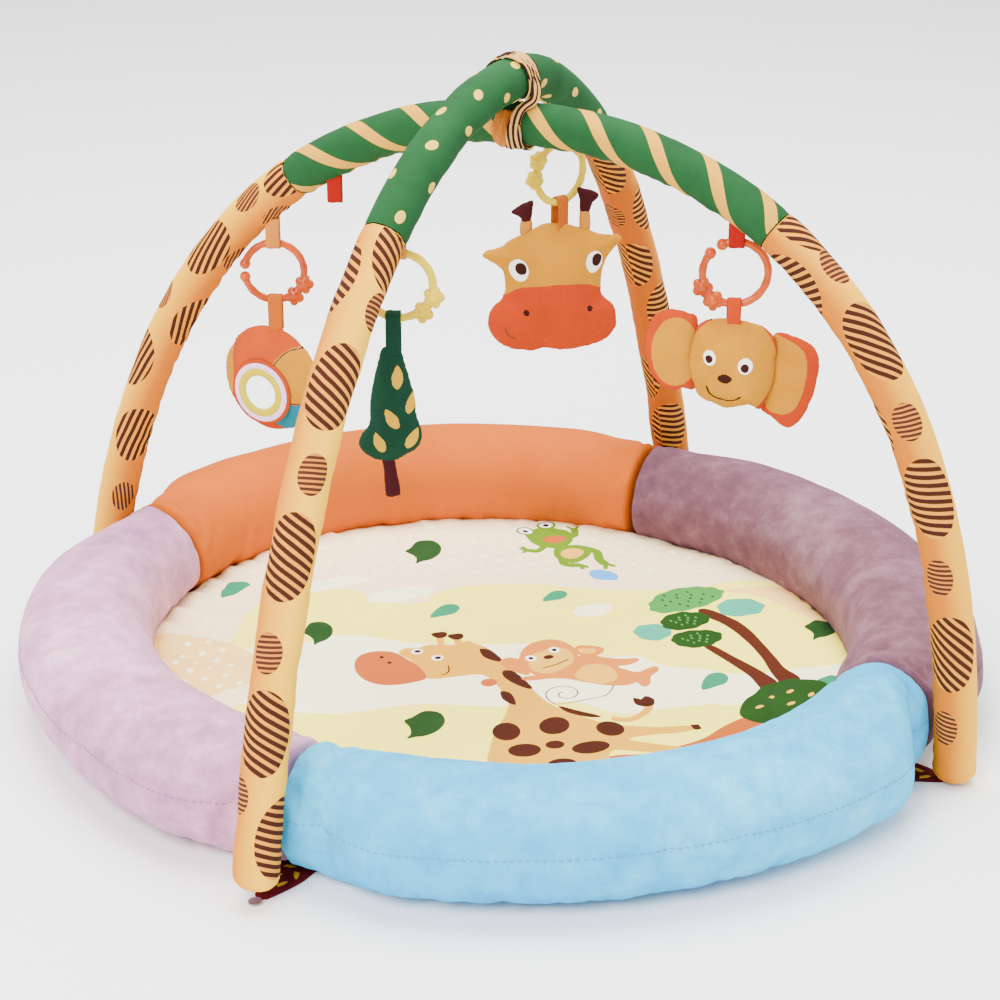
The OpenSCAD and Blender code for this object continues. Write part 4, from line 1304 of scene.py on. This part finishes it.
def clip(toy, mat, mouth, flowers):
    """Open plastic ring with a ball on each end and two moulded flowers."""
    centre = lower_hinge(toy) + [0, 0, CLIP_R]
    yaw = CLIP_YAW[toy]
    verts, faces = [], []

    def put(pts, fs):
        base = len(verts)
        verts.extend(turned(pts, yaw, centre))
        faces.extend([tuple(i + base for i in f) for f in fs])

    # the ring's uneven rod
    rows, cols = 97, 18
    rod = []
    for i in range(rows):
        a = math.radians(mouth + 14 + 332 * i / 96)
        tube = 3.5 + 0.25 * math.sin(i * 0.9) * (0.4 + 0.6 * math.sin(i * 0.21) ** 2)
        for b in np.linspace(0, 2 * math.pi, cols, endpoint=False):
            r = CLIP_R + tube * math.cos(b)
            rod.append((r * math.cos(a), tube * math.sin(b), r * math.sin(a)))
    put(rod, grid_faces(rows, cols) + end_faces(rows, cols))
    # the balls at its ends
    rows, cols, r = 14, 24, 5.2
    for s in (-1, 1):
        a = math.radians(mouth + s * 13)
        x, z = CLIP_R * math.cos(a), CLIP_R * math.sin(a)
        put([(x + r * math.sin(p) * math.cos(q), r * math.sin(p) * math.sin(q), z + r * math.cos(p))
             for p in np.linspace(0.02, math.pi - 0.02, rows)
             for q in np.linspace(0, 2 * math.pi, cols, endpoint=False)],
            grid_faces(rows, cols) + end_faces(rows, cols))
    # the flowers: share of the petal's reach, and height, of each ring of points
    layers = [(0.0, -3.2), (0.45, -3.6), (0.85, -3.9), (0.97, -2.8), (1.02, 0.0), (0.97, 2.8), (0.85, 3.9),
              (0.45, 3.4), (0.38, 4.6), (0.2, 5.0), (0.0, 5.1)]
    around = 60
    for k, turn in enumerate(flowers):
        a = math.radians(turn)
        c = np.array([(CLIP_R + 2.5) * math.cos(a), 0, (CLIP_R + 2.5) * math.sin(a)])
        pts = []
        for f, y in layers:
            for b in (2 * math.pi * i / around for i in range(around)):
                r = f * (6.9 + 2.5 * abs(math.cos(2.5 * b + k)) if f > 0.5 else 8.4)
                pts.append(c + [r * math.cos(b), -y, r * math.sin(b)])
        put(pts, grid_faces(len(layers), around))
    name = TOYS[toy] + "_clip"
    stand_in(make(name + "_moulded", verts, faces, [mat]), TOYS[toy] + "_ring", name)


# ---------------------------------------------------------------- stuffed toys
def stuffed(toy, name, outline, shapes, mats, thick, node, origin, step=3.0, back=0, seam=0.6, shift=0.0):
    """Two printed panels of a toy, sewn round their edge and filled. Drawn in the toy's own plane
    (x to its left-to-right, z up), then filled, then turned and hung at origin."""
    edge = resample(np.asarray(outline, float), step * 0.85)
    P, T, lab = patchwork(edge, shapes, step, step * 0.62)
    n = len(P)
    d = np.full(n, 1e9)
    for i in range(0, n, 500):
        d[i:i + 500] = np.linalg.norm(P[i:i + 500, None] - edge[None], axis=2).min(1)
    on_edge = d < 1e-3
    half = max(d.max(), 1e-6)
    dome = np.sqrt(np.clip(1 - (1 - np.minimum(d / (half * 0.95), 1)) ** 2, 0, 1))
    h = np.where(on_edge, 0, 1) * thick / 2 * dome
    h = h * 0.55
    front = np.column_stack([P[:, 0], -h, P[:, 1]])
    verts = np.vstack([front, np.column_stack([P[:, 0], h, P[:, 1]])[~on_edge]])
    back_index = np.arange(n)
    back_index[~on_edge] = n + np.arange((~on_edge).sum())
    faces = [tuple(t) for t in T] + [tuple(back_index[t[::-1]]) for t in T]
    # printed front faces look towards -y
    a, b, c = front[T[0]]
    if np.cross(b - a, c - a)[1] > 0:
        faces = [f[::-1] for f in faces]
    ob = make(name, verts, faces, mats, list(lab) + [back] * len(T), verts[:, [0, 2]])
    co = coords(ob)
    inflate(ob, 9.0, 5.0, 18, None, 14.0, 0.5, 0.0, thick)
    co = as_drawn(coords(ob), P, verts, thick)
    # seam: a pinched edge with small gathers
    full = np.concatenate([d, d[~on_edge]])
    s = np.arctan2(verts[:, 2] - verts[:, 2].mean(), verts[:, 0] - verts[:, 0].mean()) * half * 2
    gather = np.sin(s / 1.9 + 2 * bumps(verts, 30, 4)) * (full > 0.5)
    co[:, 1] += np.sign(co[:, 1]) * seam * np.exp(-(full / 7.0)) * gather
    co[:, 1] += 0.35 * bumps(verts, 22, 9, 2) * np.minimum(full / 6, 1)
    co[:, 1] += shift
    set_coords(ob, turned(co, TOY_YAW[toy], origin))
    subdivide(ob)
    stand_in(ob, TOYS[toy] + "_hanging", *([node] if node else []))


def as_drawn(co, P, verts, thick):
    """A filled shape brought back to its drawn size, and most of the way to its drawn outline."""
    for axis, lo, hi in ((0, P[:, 0].min(), P[:, 0].max()), (2, P[:, 1].min(), P[:, 1].max()),
                         (1, -thick / 2, thick / 2)):
        mid = (co[:, axis].max() + co[:, axis].min()) / 2
        co[:, axis] = (co[:, axis] - mid) * (hi - lo) / max(np.ptp(co[:, axis]), 1e-6) + (hi + lo) / 2
    for axis in (0, 2):
        co[:, axis] = verts[:, axis] * 0.8 + co[:, axis] * 0.2
    return co


def toy_origin(toy, drop):
    """Middle of a toy that hangs drop below the end of its tape."""
    return lower_hinge(toy) - [0, 0, TAPE_DROP[toy] + drop]


def across(toy, mm):
    """A short way along the clip's own plane, to its right."""
    return np.append(heading(CLIP_YAW[toy]) * mm, 0)


def giraffe():
    head = smooth_loop([
        (0, 64), (15, 62), (31, 58), (44, 54), (58, 54), (63, 49), (58, 42), (51, 31), (47, 16), (47, -2),
        (51, -10), (58, -18), (60, -31), (58, -43), (47, -54), (27, -61), (8, -64), (-10, -63), (-19, -65),
        (-40, -63), (-55, -55), (-63, -45), (-65, -34), (-62, -22), (-53, -9), (-51, 2), (-52, 13), (-56, 21),
        (-67, 30), (-70, 34), (-66, 39), (-53, 42), (-42, 49), (-26, 56), (-12, 63)][::-1], 4)
    mats = ["gold", "salmon", "white", "pupil", "black"]
    muzzle = np.vstack([open_curve([(-75, -10), (-52, -7), (-33, 3), (0, 8), (29, 7), (47, 1), (75, -4)]),
                        [(80, -80), (-80, -80)]])
    shapes = [(1, muzzle), (2, oval(-35, 20, 10, 11)), (3, oval(-32.5, 22, 6, 6.2)),
              (2, oval(37, 28, 8.2, 11)), (3, oval(39.5, 30, 5, 6.7)),
              (3, oval(-27, -20, 3.1, 3.2)), (3, oval(34, -17, 2.9, 3.0)),
              (4, drawn([(-47, -38), (-44, -46), (-36, -49)], 0.9))]
    origin = toy_origin(GIRAFFE, 61) + across(GIRAFFE, -4)
    stuffed(GIRAFFE, "giraffe_head_cloth", head, shapes, mats, 40, "giraffe_toy", origin)
    for k, (stalk, fan) in enumerate((
            ([(-34, 50), (-23, 53), (-23, 66), (-33, 66)],
             [(-33, 62), (-34, 67), (-43, 72), (-40, 76), (-33, 81), (-23, 85), (-21, 83), (-22, 73),
              (-24, 62)]),
            ([(22, 54), (32, 54), (31, 76), (22.5, 77)],
             [(22.5, 72), (21, 85), (18.5, 96), (22, 97.5), (38, 93), (40, 88), (34, 81), (31, 72)]))):
        stuffed(GIRAFFE, "giraffe_horn_stalk_%d" % k, smooth_loop(stalk, 5), [], ["horn_stalk"], 7, None,
                origin, 2.2, seam=0.2, shift=3)
        stuffed(GIRAFFE, "giraffe_horn_%d" % k, smooth_loop(fan, 4), [], ["maroon"], 9,
                "giraffe_horns" if k == 0 else None, origin, 2.4, seam=0.3, shift=3)


def monkey():
    face = smooth_loop([
        (-20, 41), (-2, 42), (15, 39), (29, 33), (38, 22), (39, 3), (38, -14), (33, -32), (27, -43),
        (16, -40), (-2, -43), (-13, -39), (-28, -32), (-34, -19), (-38, -4), (-37, 14), (-33, 30),
        (-29, 37)][::-1], 5)
    mats = ["salmon", "gold", "white", "pupil"]
    # the salmon ground left round the gold oval, at the face's edges, is painted shade
    shapes = [(1, oval(-1, 0, 41, 46)),
              (2, oval(-20, 10, 5.4, 7.0)), (3, oval(-20.5, 9, 3.2, 3.8)),
              (2, oval(11, 4, 6.4, 7.2)), (3, oval(10.5, 2, 3.8, 4.0)),
              (3, oval(-6.5, -8, 6.4, 4.2, -5)),
              (3, drawn([(-22, -17), (-18, -25), (-8, -29.5), (3, -29), (8, -24.5)], 1.6))]
    origin = toy_origin(MONKEY, 41)
    stuffed(MONKEY, "monkey_face_cloth", face, shapes, mats, 40, "monkey_toy", origin, 2.8, back=1)
    ear_l = smooth_loop([
        (-31, 37), (-40, 45), (-49, 48), (-61, 47), (-70, 41), (-75, 30), (-77, 16), (-76, 3), (-72, -11),
        (-64, -22), (-53, -29), (-43, -27), (-30, -23)], 4)
    ear_r = smooth_loop([
        (36, 26), (52, 26), (70, 17), (77, 4), (77, -14), (73, -34), (65, -52), (55, -62), (46, -60),
        (36, -52), (26, -42), (30, -10)][::-1], 4)
    inner_r = smooth_loop([(30, 22), (48, 22), (64, 8), (65, -18), (57, -42), (44, -48), (30, -36)], 5)
    for side, ear, inner, node in (("left", ear_l, oval(-50, 9, 21, 32), "monkey_ears"),
                                   ("right", ear_r, inner_r, None)):
        stuffed(MONKEY, "monkey_ear_" + side, ear, [(1, inner)], ["salmon", "gold"], 13, node, origin, 2.8,
                seam=0.4, shift=5)


def tree():
    crown = smooth_loop([
        (-9, 52), (4, 53), (9, 41), (14, 23), (18, 7), (20, -10), (23, -23), (23, -31), (19, -40), (10, -46),
        (-1, -52), (-14, -52), (-23, -48), (-29, -43), (-32, -37), (-30, -28), (-24, -17), (-23, -5),
        (-21, 11), (-17, 29), (-13, 43)][::-1], 4)
    origin = toy_origin(TREE, 53) + across(TREE, -5)
    drop = smooth_loop([(0, 10.5), (4.6, 2), (3.6, -6), (0, -9.5), (-3.8, -6), (-4.6, 2)], 5)
    shapes = [(1, place(drop, x, z, 1, turn)) for x, z, turn in
              ((3, 27, 0), (15, 4, -18), (-2, -9, 32), (-13, -32, 20), (14.5, -29, -28))]
    stuffed(TREE, "tree_cloth", crown, shapes, ["tree_green", "leaf_yellow"], 28, "tree_toy", origin, 2.4)
    trunk = smooth_loop([
        (-12, -46), (-2, -46), (1, -60), (4, -80), (2, -85), (-8, -86), (-10, -80), (-11, -62)], 5)
    stuffed(TREE, "tree_trunk_cloth", trunk, [], ["maroon"], 9, "tree_trunk", origin, 2.2, seam=0.3)


def ball():
    disc = oval(0, 0, 54, 54, 0, 90)
    mats = ["salmon_lt", "gold", "turquoise", "salmon", "black"]
    panels = (
        (1, [(-60, 44), (-46, 41), (-40, 26), (-36, 6), (-42, -20), (-60, -26)]),
        (1, [(38, 40), (22, 34), (10, 16), (14, -10), (30, -16), (52, -20), (70, -18), (64, 30)]),
        (2, [(14, -16), (32, -18), (54, -20), (64, -34), (40, -60), (16, -60), (8, -40)]),
        (3, [(-60, -22), (-40, -22), (-26, -36), (-4, -36), (8, -44), (16, -60), (-20, -66), (-60, -50)]))
    shapes = [(label, smooth_loop(points, 5)) for label, points in panels]
    for seam in ([(-45, 42), (-40, 30), (-37, 20)], [(38, 39), (24, 34), (13, 20), (10, 12)],
                 [(14, -15), (30, -16), (48, -20)], [(4, -40), (10, -46), (15, -52)],
                 [(-56, -22), (-50, -20)]):
        shapes.append((4, drawn(seam, 1.2)))
    origin = toy_origin(BALL, 54) + across(BALL, -6)
    stuffed(BALL, "ball_cloth", disc, shapes, mats, 38, "ball_toy", origin)
    mirror(origin)


MIRROR_X, MIRROR_Z = -1.0, -9.0         # middle of the mirror on the ball's face


def face_ring(r, y, n):
    """n points round the mirror's middle, y from the ball's middle."""
    turns = (2 * math.pi * i / n for i in range(n))
    return [(MIRROR_X + r * math.cos(a), y, MIRROR_Z + r * math.sin(a)) for a in turns]


def mirror(origin):
    """Raised printed felt rings round the mirror, and the mirror's film."""
    # radius and height along the rings' section: four yellow strips, three lilac ones, then the rim
    profile = [(16.8, 0.2), (17.4, 1.5), (20.0, 2.0), (24.0, 1.9), (24.6, 1.5), (25.2, 1.9), (29.0, 1.7),
               (29.6, 1.2), (30.2, 1.5), (32.4, 0.9), (33.0, -0.6), (31.0, -3.0), (17.0, -3.0)]
    around, rows = 96, len(profile)
    verts, faces, labels = [], [], []
    for r, y in profile:
        verts += face_ring(r, -19.6 - y + 2.0 * (r / 33.0) ** 2 * (y > -1), around)
    for j in range(rows):
        for i in range(around):
            k, after = (j + 1) % rows, (i + 1) % around
            faces.append((j * around + i, k * around + i, k * around + after, j * around + after))
            labels.append(0 if j < 4 else (1 if j < 7 else 2))
    rings = make("ball_mirror_rings", turned(verts, TOY_YAW[BALL], origin), faces,
                 ["yellow_print", "lilac_print", "rim"], labels)
    stand_in(rings, "ball_hanging", "ball_mirror_frame")

    around, rows = 64, 6
    verts, faces = [(MIRROR_X, -19.9, MIRROR_Z)], []
    for j in range(1, rows + 1):
        verts += face_ring(16.9 * j / 6, -19.9 + 0.5 * (j / 6) ** 2, around)
    for i in range(around):
        after = (i + 1) % around
        faces.append((0, 1 + i, 1 + after))
        for j in range(rows - 1):
            a, b = 1 + j * around + i, 1 + j * around + after
            faces.append((a, a + around, b + around, b))
    film = make("ball_mirror_film", turned(verts, TOY_YAW[BALL], origin), faces, [])
    n = Nodes("mirror_film", (0.93, 0.93, 0.95, 1), 0.14)
    n.b.inputs["Metallic"].default_value = 1.0
    n.bump(n.noise(60.0, 2.0, 0.5), 0.25, 0.002)
    film.data.materials.append(n.m)
    stand_in(film, "ball_hanging", "ball_mirror")


# ---------------------------------------------------------------- straps at the feet
def foot_straps():
    """Printed cloth straps that run from under the bolster to each foot."""
    verts, faces, labels = [], [], []
    cut_length, cut_area, width = 0.0, 0.0, 42
    for angle, foot_r in zip(LEG_ANGLE, FOOT_R):
        back = -(foot_r - ring_outer(angle) + BOLSTER_A) + 2
        cut_length += -5 - back
        side = [(back, 21), (-46, 19), (-32, 15), (-18, 10), (-9, 6)]
        edge = np.array([(x, -y) for x, y in side] + [(-5, 0)] + side[::-1], float)
        after = np.roll(edge, -1, axis=0)
        cut_area += abs((edge[:, 0] * after[:, 1] - edge[:, 1] * after[:, 0]).sum()) / 2
        shapes = [(1, place([(-1, -0.6), (0.3, -0.2), (1.1, 0.5), (0.2, 0.6), (-0.9, 0.3)], cx, cy, 5.5, t))
                  for cx, cy, t in (
                      (-24, -5, 20), (-34, 6, 140), (-46, -8, 250), (-50, 9, 10), (-60, -2, 80))]
        P, T, lab = patchwork(resample(edge, 4), shapes, 6.0, 2.5)
        top = np.column_stack([P, 1.3 + 0.25 * np.sin(P[:, 0] / 5)])
        low = np.column_stack([P, np.full(len(P), 0.2)])
        new_faces, new_labels = slab_faces(T, lab, len(P), len(verts))
        verts += list(turned(np.vstack([top, low]), angle, np.append(heading(angle) * foot_r, 0)))
        faces += new_faces
        labels += new_labels
    ob = make("foot_tab_straps", verts, faces, ["strap", "leaf_yellow"], labels)
    stand_in(ob, "base", "foot_tabs")


# ---------------------------------------------------------------- CAD pieces that stay
CAD_LOOKS = {
    "mat_cream": ["base_cloth"],
    "pole": ["upper_pole_front", "upper_pole_back", "lower_pole_right", "lower_pole_left"],
    "steel": ["upper_ferrule", "lower_ferrule", "tab_snaps"],
    "rubber": ["upper_pole_tips", "lower_pole_tips"],
}


def cad_pieces():
    """Materials of the CAD pieces that stay."""
    for look, nodes in CAD_LOOKS.items():
        for node in nodes:
            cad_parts[node].data.materials.clear()
            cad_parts[node].data.materials.append(M[look])


# ---------------------------------------------------------------- build everything
studio()
bolster("bolster_front", -135, "blue", "stitch_blue", 1)
bolster("bolster_right", -45, "mauve", "stitch_mauve", 2)
bolster("bolster_back", 45, "orange", "stitch_orange", 3)
bolster("bolster_left", 135, "lilac", "stitch_lilac", 4)
mat()
arches()
tie("upper", UF, UPPER_H, 9.0, "tie_stripe", 1, 20, -99, tail=True)
tie("lower", LR, LOWER_H, 0.0, "tie_peach", -1, 30, 0.24 * 30, tail=False)
for toy, mat_name, stands in ((BALL, "tie_peach", True), (TREE, "tie_peach", True),
                              (GIRAFFE, "red", False), (MONKEY, "red", False)):
    node = ARCH_OF[toy].replace("arch", "hang_loops") if stands else None
    tape_loop(TOYS[toy] + "_hang_loop", upper_hinge(toy), HANG_DROP[toy] + 4, CLIP_YAW[toy], 13.5, mat_name,
              ARCH_OF[toy], node)
tape_loop("spare_hang_loop", hinge_at(LL, 0.54, 18), 22, -19, 14, "red", "lower_arch", "lower_spare_loop")
clip(BALL, "clip_orange", 178, (-25, -53))
clip(TREE, "clip_yellow", 178, (-20, -50))
clip(GIRAFFE, "clip_yellow", 48, (150, 183))
clip(MONKEY, "clip_orange", 128, (-155, -126))
for toy, width, extra, mat_name, shift in (
        (BALL, 14, 5, "tan_tape", np.zeros(3)), (TREE, 13, 7, "tree_green", across(TREE, -5) + [0, 0, 0.5]),
        (GIRAFFE, 12, 5, "tan_tape", np.zeros(3)), (MONKEY, 12, 5, "salmon", np.zeros(3))):
    name = TOYS[toy]
    tape_loop(name + "_tape_cloth", lower_hinge(toy) + shift, TAPE_DROP[toy] + extra, CLIP_YAW[toy], width,
              mat_name, name + "_hanging", name + "_tape", up=False)
giraffe()
monkey()
tree()
ball()
foot_straps()
cad_pieces()
